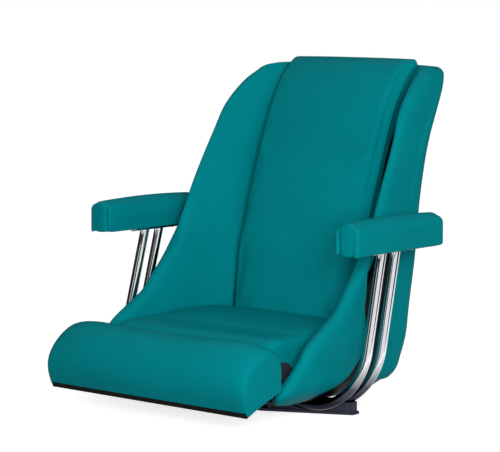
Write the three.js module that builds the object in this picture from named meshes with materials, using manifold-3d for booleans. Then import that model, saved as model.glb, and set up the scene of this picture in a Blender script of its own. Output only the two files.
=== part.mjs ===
// Boat helm seat: an upholstered bucket on twin tube hoops that also carry the armrests,
// with a front bolster that flips up. Millimetres, +Z up, the sitter faces -Y.
// The origin is the centre of the base plate's underside, where a pedestal bolts on.
import * as THREE from "three";
import { mergeVertices } from "three/addons/utils/BufferGeometryUtils.js";
import Module from "manifold-3d";

const wasm = await Module();
wasm.setup();

// Fits and allowances
const gap = 0.3;
const cutOverrun = 12;
const screwClearance = 0.4;
const joinBite = 1;
const pointSpacing = 0.003;

// Upholstery
const vinyl = 1.5;

// Widths that the rest follows, measured from the middle
const seatHalfWidth = 200;
const bucketSide = 66;
const armReach = 79;
const bucketHalfWidth = seatHalfWidth + bucketSide;
const armHalfWidth = bucketHalfWidth + armReach;

// Tube hoops
const tubeRadius = 9.5;
const tubeWall = 1.5;
const hoopBottom = 17;
const hoopBend = 108;
const hoopInset = 33;
const hoopHalfWidth = armHalfWidth - hoopInset;
const hoopTopInset = 5;
const hoopTopHalfWidth = hoopHalfWidth - hoopTopInset;
const hoopRunHalf = hoopHalfWidth - hoopBend;
const hoopLean = 0.265;
const hoopFrontY = -83.5;
const hoopSpacing = 43;
const tubeSides = 10;
const bendSteps = 9;

// Base plate, with a square pattern of holes for the pedestal
const plateHalfWidth = 120;
const plateFront = -125;
const plateRear = 130;
const plateThickness = 5;
const plateTipInset = 41;
const plateTipReach = hoopHalfWidth - plateTipInset;
const plateTipFront = -46;
const plateTipRear = -26;
const plateShoulder = 12;
const pedestalPitch = 203.2;
const pedestalHoleRadius = 4.5;

// Saddles and clamps that hold the hoops
const clampToBend = 28;
const clampLength = 50;
const clampOuter = hoopRunHalf - clampToBend;
const clampInner = clampOuter - clampLength;
const saddleOverhang = 8;
const saddleInner = clampInner - saddleOverhang;
const saddleInset = 3;
const saddleTipHeight = 23.5;
const saddleRiseShare = 0.5;
const clampMargin = 10;
const spacerRadius = 18;
const spacerAcross = 70;
const spacerBack = 95;

// Armrests
const armPadWidth = 54;
const armPadFront = -126;
const armPadLength = 264;
const armPadBottom = 315.4;
const armPadHeight = 57;
const armCrown = 5;
const armArch = 3;
const armFootTaper = 1;
const armEdgeRadius = 10;
const armEndRun = 11;
const armBoardThickness = 10;
const armPlateThickness = 3;
const armPlateWidth = 30;
const armPlateFront = -45;
const armPlateLength = 135;
const armPlateInset = 2;
const armScrewMargin = 10;
const armScrewRadius = 2.5;
const screwTipRoom = 1;

// Bucket: outside sizes over its padding
const bucketRear = 320;
const padBottom = 36.3;
const padTop = 650;
const edgeFront = -232;
const edgeRear = 262;
const bucketCorner = 35;
const panelThickness = 8;
const shellWall = 6;
const shellBottom = 30;
const shellFloorMargin = 5;
const shellFloorHalfWidth = seatHalfWidth + shellFloorMargin;
const shellFloorRear = 75;
const cornerSteps = 3;

// Wing pads that wrap the shell's front edges
const edgePad = 28;
const edgePadShare = 0.6;
const wingToSeat = 18.5;
const wingInner = seatHalfWidth + wingToSeat;
const noseRadius = 22;
const junctionOut = 14;
const junctionFlare = 6;
const lowJoinOut = 5.5;
const cushionProud = 29;

// Back cushion between the wings
const backWidthShare = 0.76;
const backHalfWidth = seatHalfWidth * backWidthShare;
const junctionHalfWidth = backHalfWidth + junctionOut;
const backBottom = 100;
const backRise = 15;
const backTop = padTop + backRise;
const backCrown = 7;
const backFootTaper = 2;
const backEdgeRadius = 16;
const backEndRun = 14;
const backBoardThickness = 9;
const backBoardInset = 12;
const creaseDrop = 163;
const creaseHeight = padTop - creaseDrop;
const creaseDepth = 1.5;
const creaseHalfHeight = 7;

// Rear panel
const rearPanelBottom = 50;
const rearPanelRise = 1;
const rearPanelTop = padTop + rearPanelRise;
const panelBoardThickness = 2.2;

// Seat cushion and the plinth under it
const seatBottom = 95;
const seatTop = 155;
const seatCrown = 9;
const seatRearRadius = 10;
const seatEndRun = 24;
const seatBoardThickness = 10;
const plinthInset = 12;
const plinthHalfWidth = seatHalfWidth - plinthInset;
const plinthFront = -205;
const plinthRear = 70;
const plinthWall = 18;

// Flip-up bolster
const pivotY = -175;
const pivotZ = 97;
const noseReach = 58;
const bolsterOverhang = 54;
const bolsterHalfWidth = seatHalfWidth + bolsterOverhang;
const bolsterFront = -347;
const bolsterTop = 163;
const bolsterClearance = 2;
const bolsterRearTuck = 1;
const bolsterFrontBottom = 34;
const bolsterSlope = THREE.MathUtils.degToRad(23.1);
const bolsterFloorFront = -331;
const bolsterBoardThickness = 12;
const bolsterBoardInset = 4;
const bolsterEndRun = 26;

// Hinge of the bolster
const armThickness = 5;
const armGapToSeat = 4.3;
const hingeHubRadius = 15;
const armBladeDepth = 16;
const armBladeFront = -305;
const armFlangeWidth = 26;
const bushRadius = 8;
const pinRadius = 5;
const pinHeadRadius = 9;
const pinHeadThickness = 2.4;
const pinTailRadius = 8;
const bracketHubRadius = 14;
const bracketFootDepth = 24;
const bracketFront = -213;
const bracketRear = -158;
const bumperRadius = 6;
const bumperInset = 1;
const bracketRiseShare = 0.62;
// Where the arm's neck meets its hub, as shares of the hub's radius: forward, below and above
const neckShares = [0.3, 0.9, 0.95];

// Fasteners
const boltRadius = 4;
const boltHeadRadius = 8;
const boltHeadDepth = 4;
const boltInnerInset = 13;
const boltOuterInset = 16;
const boltInnerX = clampInner + boltInnerInset;
const boltOuterX = clampOuter - boltOuterInset;
const seatScrewRadius = 3;
const seatScrewHeadRadius = 6;
const seatScrewHead = 3;
const seatScrewX = plinthHalfWidth - plinthWall / 2;
const seatScrewBite = 8;
const footStudRadius = 2.5;
const footStudInset = 10;
const pegRadius = 3;
const pegX = 110;
const pegBottom = 150;
const pegDrop = 110;

// Levels of the bucket, as shares of the height from padBottom to padTop,
// and the shape at each level as shares of the sizes that they follow.
const levelShares =
  [0, 0.03, 0.1, 0.13, 0.175, 0.215, 0.26, 0.31, 0.41, 0.5, 0.62, 0.78, 0.86, 0.92, 0.967, 1];
const edgeShares =
  [0.02, 0, 0.069, 0.103, 0.146, 0.227, 0.32, 0.379, 0.498, 0.555, 0.623, 0.727, 0.777, 0.844, 0.915, 1];
// How far the bucket reaches past the seat cushion, as a share of bucketSide
const sideShares =
  [0.545, 0.803, 0.94, 0.972, 1, 0.984, 0.96, 0.94, 0.895, 0.847, 0.786, 0.666, 0.597, 0.557, 0.516, 0.476];
const rearShares =
  [0.306, 0.378, 0.447, 0.465, 0.484, 0.5, 0.522, 0.547, 0.594, 0.625, 0.678, 0.794, 0.881, 0.941, 0.978, 1];
const faceShares = [
  0.256, 0.256, 0.256, 0.256, 0.256, 0.262, 0.272, 0.284, 0.314, 0.369, 0.448, 0.563, 0.628, 0.694, 0.756,
  0.819,
];
// Where the panel's side wrap starts, in front of the rear, as a share of bucketRear
const wrapShares = [
  0.235, 0.235, 0.235, 0.235, 0.235, 0.235, 0.235, 0.235, 0.235, 0.235, 0.235, 0.235, 0.225, 0.194, 0.15,
  0.112,
];
// Rear edge of the wing's outer flap, as a share of the way from the leading edge to the wrap
const flapShares = [0.27, 0.54, 0.7, 0.72, 0.7, 0.62, 0.47, 0.37, 0.1, 1, 1, 1, 1, 1, 1, 1];
// The wing's rounded nose, as shares of its radius from the outer side and the leading edge
const noseWidthShare = 1.35;
const noseShares = [[0, 1], [0.16, 0.42], [0.5, 0], [0.95, 0.1], [noseWidthShare, 0.62]];
// Where the wing's inner face ends at the lowest levels, as a share of the way to the rear corner
const lowJoinShares = [0.09, 0.28, 0.95];
// Where a squared inner face starts to bend, as a share of the way from the edge to its end
const squareBendShare = 0.45;
// How squarely the wing's inner face follows the side before it turns to the cushion
const squareShares = [1, 1, 1, 1, 1, 0.9, 0.75, 0.6, 0.4, 0.2, 0, 0, 0, 0, 0, 0];

const teal = new THREE.Color(0x008b94);
const looks = {
  vinyl: { color: teal, roughness: 0.45, metalness: 0 },
  foam: { color: new THREE.Color(0xd9cfa6), roughness: 0.95, metalness: 0 },
  plywood: { color: new THREE.Color(0x3a2420), roughness: 0.8, metalness: 0 },
  shell: { color: new THREE.Color(0x16171a), roughness: 0.5, metalness: 0 },
  chrome: { color: new THREE.Color(0xd8dadd), roughness: 0.12, metalness: 1 },
  casting: { color: new THREE.Color(0x33343f), roughness: 0.5, metalness: 0.2 },
  steel: { color: new THREE.Color(0x8d9094), roughness: 0.35, metalness: 1 },
  nylon: { color: new THREE.Color(0xd7d4c8), roughness: 0.6, metalness: 0 },
  rubber: { color: new THREE.Color(0x1a1a1a), roughness: 0.9, metalness: 0 },
};

const seat = new THREE.Group();

function add(name, shape, look) {
  const geometry = shape.isBufferGeometry ? shape : geometryOf(shape);
  const mesh = new THREE.Mesh(geometry, new THREE.MeshStandardMaterial(looks[look]));
  mesh.name = name;
  seat.add(mesh);
  return mesh;
}

// Between three.js meshes and solids that can be cut and joined
function solidOf(geometry) {
  const bare = geometry.clone();
  bare.deleteAttribute("normal");
  bare.deleteAttribute("uv");
  const merged = mergeVertices(bare, 1e-4);
  const vertProperties = new Float32Array(merged.attributes.position.array);
  const triVerts = new Uint32Array(merged.index.array);
  return new wasm.Manifold(new wasm.Mesh({ numProp: 3, vertProperties, triVerts }));
}

function geometryOf(solid) {
  const { vertProperties, triVerts, numProp } = solid.getMesh();
  const geometry = new THREE.BufferGeometry();
  const positions = new Float32Array((vertProperties.length / numProp) * 3);
  for (let i = 0; i < positions.length / 3; i += 1) {
    for (let k = 0; k < 3; k += 1) positions[3 * i + k] = vertProperties[numProp * i + k];
  }
  geometry.setAttribute("position", new THREE.BufferAttribute(positions, 3));
  geometry.setIndex(new THREE.BufferAttribute(new Uint32Array(triVerts), 1));
  geometry.computeVertexNormals();
  return geometry;
}

function mirrored(solid) {
  return solid.scale([-1, 1, 1]);
}

// A closed solid through rings of points that all have the same count. Faces split the other way
// from the turn on, so that a side listed backwards matches its neighbour listed forwards.
function loft(rings, turn = Infinity) {
  const count = rings[0].length;
  const positions = rings.flat().flatMap((p) => [p.x, p.y, p.z]);
  const index = [];
  for (let r = 0; r + 1 < rings.length; r += 1) {
    for (let i = 0; i < count; i += 1) {
      const j = (i + 1) % count;
      const a = r * count + i;
      const b = r * count + j;
      const [c, d] = [b + count, a + count];
      index.push(...(i < turn ? [a, b, c, a, c, d] : [a, b, d, b, c, d]));
    }
  }
  const capped = [[0, true], [rings.length - 1, false]];
  for (const [r, flip] of capped) {
    for (const face of capFaces(rings[r])) {
      const [a, b, c] = face.map((i) => i + r * count);
      index.push(...(flip ? [a, c, b] : [a, b, c]));
    }
  }
  const geometry = new THREE.BufferGeometry();
  geometry.setAttribute("position", new THREE.Float32BufferAttribute(positions, 3));
  geometry.setIndex(index);
  return outward(geometry);
}

// Triangles that fill a flat ring, wound as the ring is
function capFaces(ring) {
  const normal = new THREE.Vector3();
  ring.forEach((p, i) => normal.add(new THREE.Vector3().crossVectors(p, ring[(i + 1) % ring.length])));
  normal.normalize();
  const turn = new THREE.Quaternion().setFromUnitVectors(normal, new THREE.Vector3(0, 0, 1));
  const flat = ring.map((p) => {
    const q = p.clone().sub(ring[0]).applyQuaternion(turn);
    return new THREE.Vector2(q.x, q.y);
  });
  return THREE.ShapeUtils.triangulateShape(flat, []);
}

function outward(geometry) {
  const p = geometry.attributes.position;
  const index = geometry.index.array;
  const [a, b, c] = [new THREE.Vector3(), new THREE.Vector3(), new THREE.Vector3()];
  let volume = 0;
  for (let i = 0; i < index.length; i += 3) {
    a.fromBufferAttribute(p, index[i]);
    b.fromBufferAttribute(p, index[i + 1]);
    c.fromBufferAttribute(p, index[i + 2]);
    volume += a.dot(b.cross(c));
  }
  if (volume < 0) {
    for (let i = 0; i < index.length; i += 3) [index[i + 1], index[i + 2]] = [index[i + 2], index[i + 1]];
  }
  return geometry;
}

// Prisms along each axis from an outline of [u, v] points: XY up Z, YZ along X, XZ along Y
const prismAxes = {
  z: [[1, 0, 0], [0, 1, 0], [0, 0, 1]],
  x: [[0, 1, 0], [0, 0, 1], [1, 0, 0]],
  y: [[1, 0, 0], [0, 0, 1], [0, 1, 0]],
};

function prism(axis, outline, from, to) {
  const [u, v, w] = prismAxes[axis].map((e) => new THREE.Vector3(...e));
  const ring = (at) =>
    outline.map((p) => new THREE.Vector3()
      .addScaledVector(u, p[0]).addScaledVector(v, p[1]).addScaledVector(w, at));
  return solidOf(loft([ring(from), ring(to)]));
}

function block(x0, x1, y0, y1, z0, z1) {
  const geometry = new THREE.BoxGeometry(x1 - x0, y1 - y0, z1 - z0);
  return solidOf(geometry.translate((x0 + x1) / 2, (y0 + y1) / 2, (z0 + z1) / 2));
}

function circle(u, v, radius, sides) {
  return Array.from({ length: sides }, (_, i) => {
    const a = (2 * Math.PI * (i + 0.5)) / sides;
    return [u + radius * Math.cos(a), v + radius * Math.sin(a)];
  });
}

function disc(axis, u, v, radius, from, to, sides = 12) {
  return prism(axis, circle(u, v, radius, sides), from, to);
}

// A turned piece: [radius, height] points on a profile that closes on the axis
function turned(profile, sides = 10) {
  return solidOf(new THREE.LatheGeometry(profile.map((p) => new THREE.Vector2(...p)), sides)
    .rotateX(Math.PI / 2));
}

// Moves each edge of a closed outline inwards by a distance
function insetOutline(outline, distance) {
  const area = outline.reduce((sum, p, i) => {
    const q = outline[(i + 1) % outline.length];
    return sum + p[0] * q[1] - q[0] * p[1];
  }, 0);
  const side = Math.sign(area);
  return outline.map((p, i) => {
    const before = outline[(i + outline.length - 1) % outline.length];
    const after = outline[(i + 1) % outline.length];
    const n1 = unitNormal(before, p, side);
    const n2 = unitNormal(p, after, side);
    const scale = distance / Math.max(0.3, 1 + n1[0] * n2[0] + n1[1] * n2[1]);
    return [p[0] + (n1[0] + n2[0]) * scale, p[1] + (n1[1] + n2[1]) * scale];
  });
}

function unitNormal(a, b, side) {
  const [du, dv] = [b[0] - a[0], b[1] - a[1]];
  const length = Math.hypot(du, dv) || 1;
  return [(-dv * side) / length, (du * side) / length];
}

// Moves an open path sideways by a distance, to its left
function insetPath(path, distance) {
  return path.map((p, i) => {
    const before = path[Math.max(i - 1, 0)];
    const after = path[Math.min(i + 1, path.length - 1)];
    const n1 = unitNormal(i ? before : p, i ? p : after, 1);
    const n2 = unitNormal(i < path.length - 1 ? p : before, i < path.length - 1 ? after : p, 1);
    const scale = distance / Math.max(0.3, 1 + n1[0] * n2[0] + n1[1] * n2[1]);
    return [p[0] + (n1[0] + n2[0]) * scale, p[1] + (n1[1] + n2[1]) * scale];
  });
}

// A smooth curve through hand-chosen points
function smooth(points, count) {
  const curve = new THREE.CatmullRomCurve3(points.map((p) => new THREE.Vector3(p[0], p[1], 0)), false,
    "centripetal");
  return curve.getSpacedPoints(count - 1).map((p) => [p.x, p.y]);
}

function mix(a, b, t) {
  return a + (b - a) * t;
}

function tableAt(shares, values, share) {
  if (share <= shares[0]) return values[0];
  const i = shares.findIndex((s) => s >= share);
  if (i < 0) return values[values.length - 1];
  return mix(values[i - 1], values[i], (share - shares[i - 1]) / (shares[i] - shares[i - 1]));
}

// The bucket's shape at a level
function bucketAt(z) {
  const share = (z - padBottom) / (padTop - padBottom);
  const read = (values) => tableAt(levelShares, values, share);
  const halfWidth = seatHalfWidth + bucketSide * read(sideShares);
  const rear = bucketRear * read(rearShares);
  const edge = edgeFront + (edgeRear - edgeFront) * read(edgeShares);
  const wrap = rear - bucketRear * read(wrapShares);
  const face = bucketRear * read(faceShares);
  return { z, halfWidth, rear, edge, wrap, face, flap: read(flapShares), square: read(squareShares) };
}

const levels = levelShares.map((share) => bucketAt(mix(padBottom, padTop, share)));

// Half of the U round the back at a level, from the side to the middle, moved inwards by a depth
function cornerHalf(level, depth) {
  const radius = bucketCorner - depth;
  const x = level.halfWidth - bucketCorner;
  const y = level.rear - bucketCorner;
  return Array.from({ length: cornerSteps + 1 }, (_, i) => {
    const a = ((Math.PI / 2) * i) / cornerSteps;
    return [x + radius * Math.cos(a), y + radius * Math.sin(a)];
  });
}

function uOutline(level, depth, front) {
  const half = [[level.halfWidth - depth, front], ...cornerHalf(level, depth)];
  const other = half.map(([x, y]) => [-x, y]).reverse();
  return [...half, ...other];
}

function ringAt(outline, z) {
  return outline.map(([x, y]) => new THREE.Vector3(x, y, z));
}

// Base plate with arms that reach out under the hoops
function plateOutline(inset) {
  const half = [
    [plateTipReach - inset, plateTipRear - inset],
    [plateTipReach - inset, plateTipFront + inset],
    [plateTipReach - plateShoulder, plateTipFront - plateShoulder / 2 + inset],
    [plateHalfWidth - plateShoulder, plateFront + inset],
  ];
  return half;
}

function makeBasePlate() {
  const rearHalf = [
    [plateHalfWidth - plateShoulder, plateRear],
    [plateHalfWidth, plateRear - plateShoulder],
    [plateHalfWidth, plateShoulder],
    [plateTipReach - plateShoulder, plateTipRear + plateShoulder / 2],
  ];
  const right = [...rearHalf, ...plateOutline(0)];
  const outline = [...right, ...right.map(([x, y]) => [-x, y]).reverse()];
  let plate = prism("z", outline, 0, plateThickness);
  for (const x of [-pedestalPitch / 2, pedestalPitch / 2]) {
    for (const y of [-pedestalPitch / 2, pedestalPitch / 2]) {
      plate = plate.subtract(disc("z", x, y, pedestalHoleRadius, -cutOverrun, cutOverrun, 16));
    }
  }
  for (const [x, y] of mountBoltPlaces) plate = plate.subtract(mountBoltTool(x, y));
  add("base_plate", plate, "casting");
}

// Places of the countersunk bolts that hold the hoops and the shell on the base plate
const boltY = hoopFrontY + hoopSpacing / 2;
const mountBolts = {
  inner: [boltInnerX, boltY],
  outer: [boltOuterX, boltY],
  rear: [spacerAcross, spacerBack],
};
const mountBoltPlaces = Object.values(mountBolts).flatMap(([x, y]) => [[x, y], [-x, y]]);
const boltTop = shellBottom + shellWall + boltRadius;

function mountBoltProfile(extra) {
  return [
    [0, extra ? -cutOverrun : gap],
    [boltHeadRadius + extra, extra ? -cutOverrun : gap],
    [boltHeadRadius + extra, gap + extra],
    [boltRadius + extra, boltHeadDepth + extra],
    [boltRadius + extra, extra ? boltTop + cutOverrun : boltTop],
    [0, extra ? boltTop + cutOverrun : boltTop],
  ];
}

function mountBoltTool(x, y) {
  return turned(mountBoltProfile(screwClearance)).translate([x, y, 0]);
}

function makeMountBolts() {
  for (const [name, [x, y]] of Object.entries(mountBolts)) {
    const bolt = turned(mountBoltProfile(0)).translate([x, y, 0]);
    add(`mount_bolt_${name}_left`, bolt, "steel");
    add(`mount_bolt_${name}_right`, mirrored(bolt), "steel");
  }
}

// One hoop's centreline: leg, bend, run under the seat, bend, leg, in a plane that leans back.
// Its steps fall on the chosen points, so the straight legs take one step each.
class HoopLine extends THREE.Curve {
  constructor(points) {
    super();
    this.points = points;
  }

  getPoint(t, target = new THREE.Vector3()) {
    const along = Math.min(Math.max(t, 0), 1) * (this.points.length - 1);
    const i = Math.min(Math.floor(along), this.points.length - 2);
    return target.lerpVectors(this.points[i], this.points[i + 1], along - i);
  }

  getPointAt(u, target) {
    return this.getPoint(u, target);
  }

  getTangentAt(u, target) {
    return this.getTangent(u, target);
  }
}

function hoopPath(frontY) {
  const legTop = armPadBottom + cutOverrun;
  const bendTop = hoopBottom + hoopBend;
  const place = (x, z) => new THREE.Vector3(x, frontY + hoopLean * (z - hoopBottom), z);
  const bend = Array.from({ length: bendSteps + 1 }, (_, i) => {
    const a = ((Math.PI / 2) * i) / bendSteps;
    return [hoopRunHalf + hoopBend * Math.cos(a), bendTop - hoopBend * Math.sin(a)];
  });
  const right = [[hoopTopHalfWidth, legTop], ...bend];
  const left = right.map(([x, z]) => [-x, z]).reverse();
  return new HoopLine([...right, ...left].map(([x, z]) => place(x, z)));
}

function tubeAlong(path, radius) {
  const section = new THREE.Shape(circle(0, 0, radius, tubeSides).map((p) => new THREE.Vector2(...p)));
  const steps = path.points.length - 1;
  return solidOf(new THREE.ExtrudeGeometry(section, { steps, extrudePath: path, bevelEnabled: false }));
}

const hoopPaths = { front: hoopPath(hoopFrontY), rear: hoopPath(hoopFrontY + hoopSpacing) };
const armPlateTop = armPadBottom - gap;
const armPlateBottom = armPlateTop - armPlateThickness;

function belowArmPlate(solid) {
  const reach = overallReach();
  return solid.intersect(block(-reach, reach, -reach, reach, -cutOverrun, armPlateBottom - gap));
}

function overallReach() {
  return armHalfWidth + backTop;
}

function makeHoops() {
  for (const [name, path] of Object.entries(hoopPaths)) {
    const tube = tubeAlong(path, tubeRadius).subtract(tubeAlong(path, tubeRadius - tubeWall));
    add(`hoop_${name}`, belowArmPlate(tube), "chrome");
  }
}

function withoutHoops(solid) {
  return Object.values(hoopPaths).reduce(
    (rest, path) => rest.subtract(tubeAlong(path, tubeRadius + gap)), solid);
}

// Saddles under the tubes, clamps over them, and spacers at the rear of the plate
function makeHoopMounts() {
  const bottom = plateThickness + gap;
  const inner = [
    [saddleInner, plateTipRear + plateShoulder / 2],
    [plateTipReach - plateShoulder, plateTipRear + plateShoulder / 2 - saddleInset],
  ];
  const plan = [...inner, ...plateOutline(saddleInset).slice(0, 3),
    [saddleInner, plateFront + plateShoulder]];
  const riseEnd = mix(hoopRunHalf, plateTipReach, saddleRiseShare);
  const side = [
    [saddleInner - cutOverrun, bottom], [plateTipReach + cutOverrun, bottom],
    [plateTipReach + cutOverrun, saddleTipHeight], [riseEnd, saddleTipHeight],
    [hoopRunHalf, hoopBottom], [saddleInner - cutOverrun, hoopBottom],
  ];
  const reach = overallReach();
  let saddle = prism("z", plan, 0, reach).intersect(prism("y", side, -reach, reach));
  saddle = withoutHoops(saddle);
  const clampFront = hoopFrontY - tubeRadius - clampMargin;
  const clampRear = hoopFrontY + hoopSpacing + tubeRadius + clampMargin;
  let clamp = withoutHoops(block(clampInner, clampOuter, clampFront, clampRear,
    hoopBottom + gap, shellBottom - gap));
  let spacer = disc("z", spacerAcross, spacerBack, spacerRadius, bottom, shellBottom - gap, 20);
  for (const [x, y] of mountBoltPlaces.filter((place) => place[0] > 0)) {
    const tool = disc("z", x, y, boltRadius + screwClearance, -cutOverrun, boltTop + cutOverrun, 10);
    saddle = saddle.subtract(tool);
    clamp = clamp.subtract(tool);
    spacer = spacer.subtract(tool);
  }
  add("saddle_left", saddle, "casting");
  add("saddle_right", mirrored(saddle), "casting");
  add("hoop_clamp_left", clamp, "casting");
  add("hoop_clamp_right", mirrored(clamp), "casting");
  add("rear_spacer_left", spacer, "casting");
  add("rear_spacer_right", mirrored(spacer), "casting");
}

// Shell: a moulded tub whose side edges follow the wings' leading edges
function edgeDepth(level) {
  return Math.min(edgePad, edgePadShare * (level.wrap - level.edge));
}

function shellEdge(level) {
  return [level.edge + edgeDepth(level) + gap, level.z];
}

function makeShell() {
  const openFront = edgeFront - edgePad;
  const outerDepth = panelThickness + gap;
  const innerDepth = outerDepth + shellWall;
  const floorRing = [
    [shellFloorHalfWidth, openFront],
    ...cornerHalf(levels[0], outerDepth).map(([x, y]) => [
      x * (shellFloorHalfWidth / (levels[0].halfWidth - outerDepth)),
      y * (shellFloorRear / (levels[0].rear - outerDepth))]),
  ];
  const floorOutline = [...floorRing, ...floorRing.map(([x, y]) => [-x, y]).reverse()];
  const outer = solidOf(loft([
    ringAt(floorOutline, shellBottom),
    ...levels.map((level) => ringAt(uOutline(level, outerDepth, openFront), level.z)),
  ]));
  const floorTop = shellBottom + shellWall;
  const last = levels[levels.length - 1];
  const inner = solidOf(loft([
    ringAt(uOutline(levels[0], innerDepth, openFront - cutOverrun), floorTop),
    ...levels.slice(1).map((level) => ringAt(uOutline(level, innerDepth, openFront - cutOverrun), level.z)),
    ringAt(uOutline(last, innerDepth, openFront - cutOverrun), last.z + cutOverrun),
  ]));
  const shellTop = padTop - vinyl - gap;
  const profile = [
    [shellEdge(levels[0])[0], -cutOverrun],
    ...levels.slice(0, -1).map(shellEdge),
    [shellEdge(bucketAt(shellTop))[0], shellTop],
    [bucketRear + cutOverrun, shellTop],
    [bucketRear + cutOverrun, -cutOverrun],
  ];
  const reach = overallReach();
  let shell = outer.subtract(inner).intersect(prism("x", profile, -reach, reach));
  for (const [x, y] of mountBoltPlaces) {
    shell = shell.subtract(disc("z", x, y, boltRadius + screwClearance, 0, floorTop + cutOverrun, 10));
  }
  for (const [x, y] of seatScrewPlaces) {
    shell = shell.subtract(disc("z", x, y, seatScrewRadius + screwClearance, 0, floorTop + cutOverrun, 8));
  }
  for (const [x, y] of footStudPlaces) {
    shell = shell.subtract(disc("z", x, y, footStudRadius + screwClearance, 0, floorTop + cutOverrun, 8));
  }
  for (const place of pegPlaces) {
    shell = shell.subtract(backPin(place, pegRadius + screwClearance, 0, wallInner + cutOverrun));
  }
  add("bucket_shell", shell, "shell");
}

// Pegs of the rear panel's board, pushed through the shell's back wall
const pegHeights = [pegBottom, padTop - pegDrop];
const pegPlaces = [-1, 1].flatMap((side) => pegHeights.map((z) => [side * pegX, z]));

// A pin along Y through the back wall at a height, from a depth under the rear face to another
function backPin(place, radius, fromDepth, toDepth, sides = 8) {
  const [x, z] = place;
  const rear = bucketAt(z).rear;
  return disc("y", x, z, radius, rear - toDepth, rear - fromDepth, sides);
}

const wallOuter = panelThickness + gap;
const wallInner = wallOuter + shellWall;

// Wing pads
function wingPath(level) {
  const w = level.halfWidth;
  const { edge } = level;
  const flapEnd = level.flap === 1 ? level.wrap - gap : mix(edge, level.wrap, level.flap);
  const radius = Math.min(noseRadius, (w - wingInner) / noseWidthShare);
  const nose = noseShares.map(([across, back]) => [w - radius * across, edge + radius * back]);
  const start = nose[nose.length - 1];
  const join = wingJoin(level);
  const square = [[wingInner, mix(edge, join[1], squareBendShare)], [wingInner, join[1]]];
  const straight = [1 / 3, 2 / 3].map((t) => start.map((value, k) => mix(value, join[k], t)));
  const controls = square.map((p, i) => p.map((value, k) => mix(straight[i][k], value, level.square)));
  const curve = new THREE.CubicBezierCurve(...[start, ...controls, join].map((p) => new THREE.Vector2(...p)));
  const face = curve.getPoints(6).slice(1).map((p) => [p.x, p.y]);
  return [[w, flapEnd], ...nose, ...face];
}

// Where the wing's inner face ends: beside the back cushion, or low down on the shell's side
function wingJoin(level) {
  const i = levels.indexOf(level);
  if (i >= lowJoinShares.length) {
    return [junctionHalfWidth + junctionFlare * (1 - level.z / padTop), level.face + cushionProud];
  }
  const out = i === lowJoinShares.length - 1 ? lowJoinOut : 0;
  return [wingInner + out, mix(level.edge, level.rear - bucketCorner, lowJoinShares[i])];
}

// The wing's side towards the shell: along the shell's back and side, round its edge and down the flap
function wingBack(level) {
  const depth = wallInner + gap;
  const sideX = level.halfWidth - depth;
  const slotEnd = level.edge + edgeDepth(level);
  const join = wingJoin(level);
  const flapInner = level.halfWidth - panelThickness;
  const flapEnd = wingPath(level)[0][1];
  const lowPad = levels.indexOf(level) < lowJoinShares.length;
  const rearLimit = lowPad ? Math.max(join[1] + gap, slotEnd) : level.rear - depth;
  const corner = cornerHalf(level, depth).map((p) => (lowPad ? [sideX, rearLimit] : p));
  const spaced = corner.map(([x, y], i) => [x - pointSpacing * i, y]).reverse();
  return [[join[0], rearLimit], ...spaced, [sideX, slotEnd], [flapInner, slotEnd], [flapInner, flapEnd]];
}

function makeWings() {
  const foamRings = levels.map((level) => {
    const path = insetPath(wingPath(level), -(vinyl + gap));
    const first = [level.halfWidth - vinyl - gap, wingPath(level)[0][1]];
    return ringAt([first, ...path.slice(1), ...wingBack(level)], level.z);
  });
  const coverRings = levels.map((level) => {
    const path = wingPath(level);
    return ringAt([...path, ...insetPath(path, -vinyl).reverse()], level.z);
  });
  const pathCount = coverRings[0].length / 2;
  const foam = solidOf(loft(foamRings, pathCount));
  const cover = solidOf(loft(coverRings, pathCount));
  add("wing_foam_left", foam, "foam");
  add("wing_foam_right", mirrored(foam), "foam");
  add("wing_cover_left", cover, "vinyl");
  add("wing_cover_right", mirrored(cover), "vinyl");
}

// Rear panel: a thin board with padded vinyl that wraps the shell's back and its rear corners
function panelStrip(fromDepth, toDepth) {
  const between = levels.filter((level) => level.z > rearPanelBottom && level.z < rearPanelTop);
  const kept = [bucketAt(rearPanelBottom), ...between, bucketAt(rearPanelTop)];
  const rings = kept.map((level) => {
    const outer = uOutline(level, fromDepth, level.wrap);
    const inner = uOutline(level, toDepth, level.wrap);
    return ringAt([...outer, ...inner.reverse()], level.z);
  });
  return solidOf(loft(rings, rings[0].length / 2));
}

function makeRearPanel() {
  const boardDepth = panelThickness - panelBoardThickness;
  let board = panelStrip(boardDepth, panelThickness);
  const cover = panelStrip(0, boardDepth - gap);
  for (const place of pegPlaces) {
    board = board.add(backPin(place, pegRadius, panelThickness - 2 * gap, wallOuter + shellWall / 2));
  }
  add("rear_panel_board", board, "shell");
  add("rear_panel_cover", cover, "vinyl");
}

// Layered pads: outline sections along one axis, with one open edge from the last point to the first
function layer(pad, inset, openShift) {
  const rings = pad.stations.map((station) => {
    const at = stationAt(pad, station, inset);
    const outline = inset ? insetOutline(pad.outline(at), inset) : pad.outline(at);
    const size = pad.size(station);
    const anchor = pad.anchor(at);
    const scaled = outline.map((p) => [mix(anchor[0], p[0], size[0]), mix(anchor[1], p[1], size[1])]);
    return openEdgeMoved(scaled, pad.open, openShift * size[1]).map((p) => pad.place(p, at));
  });
  return solidOf(loft(rings));
}

// Near each end the stations draw together by the inset, and elsewhere they keep their places
function stationAt(pad, station, inset) {
  const squeeze = (pad.endRun - inset) / pad.endRun;
  if (station < pad.low + pad.endRun) return pad.low + inset + (station - pad.low) * squeeze;
  if (station > pad.high - pad.endRun) return pad.high - inset - (pad.high - station) * squeeze;
  return station;
}

// Carries the two sides that end at the open edge on past it
function openEdgeMoved(outline, open, shift) {
  const moved = (p) => [p[0] + open[0] * shift, p[1] + open[1] * shift];
  return shift ? [moved(outline[0]), ...outline, moved(outline[outline.length - 1])] : outline;
}

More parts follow.
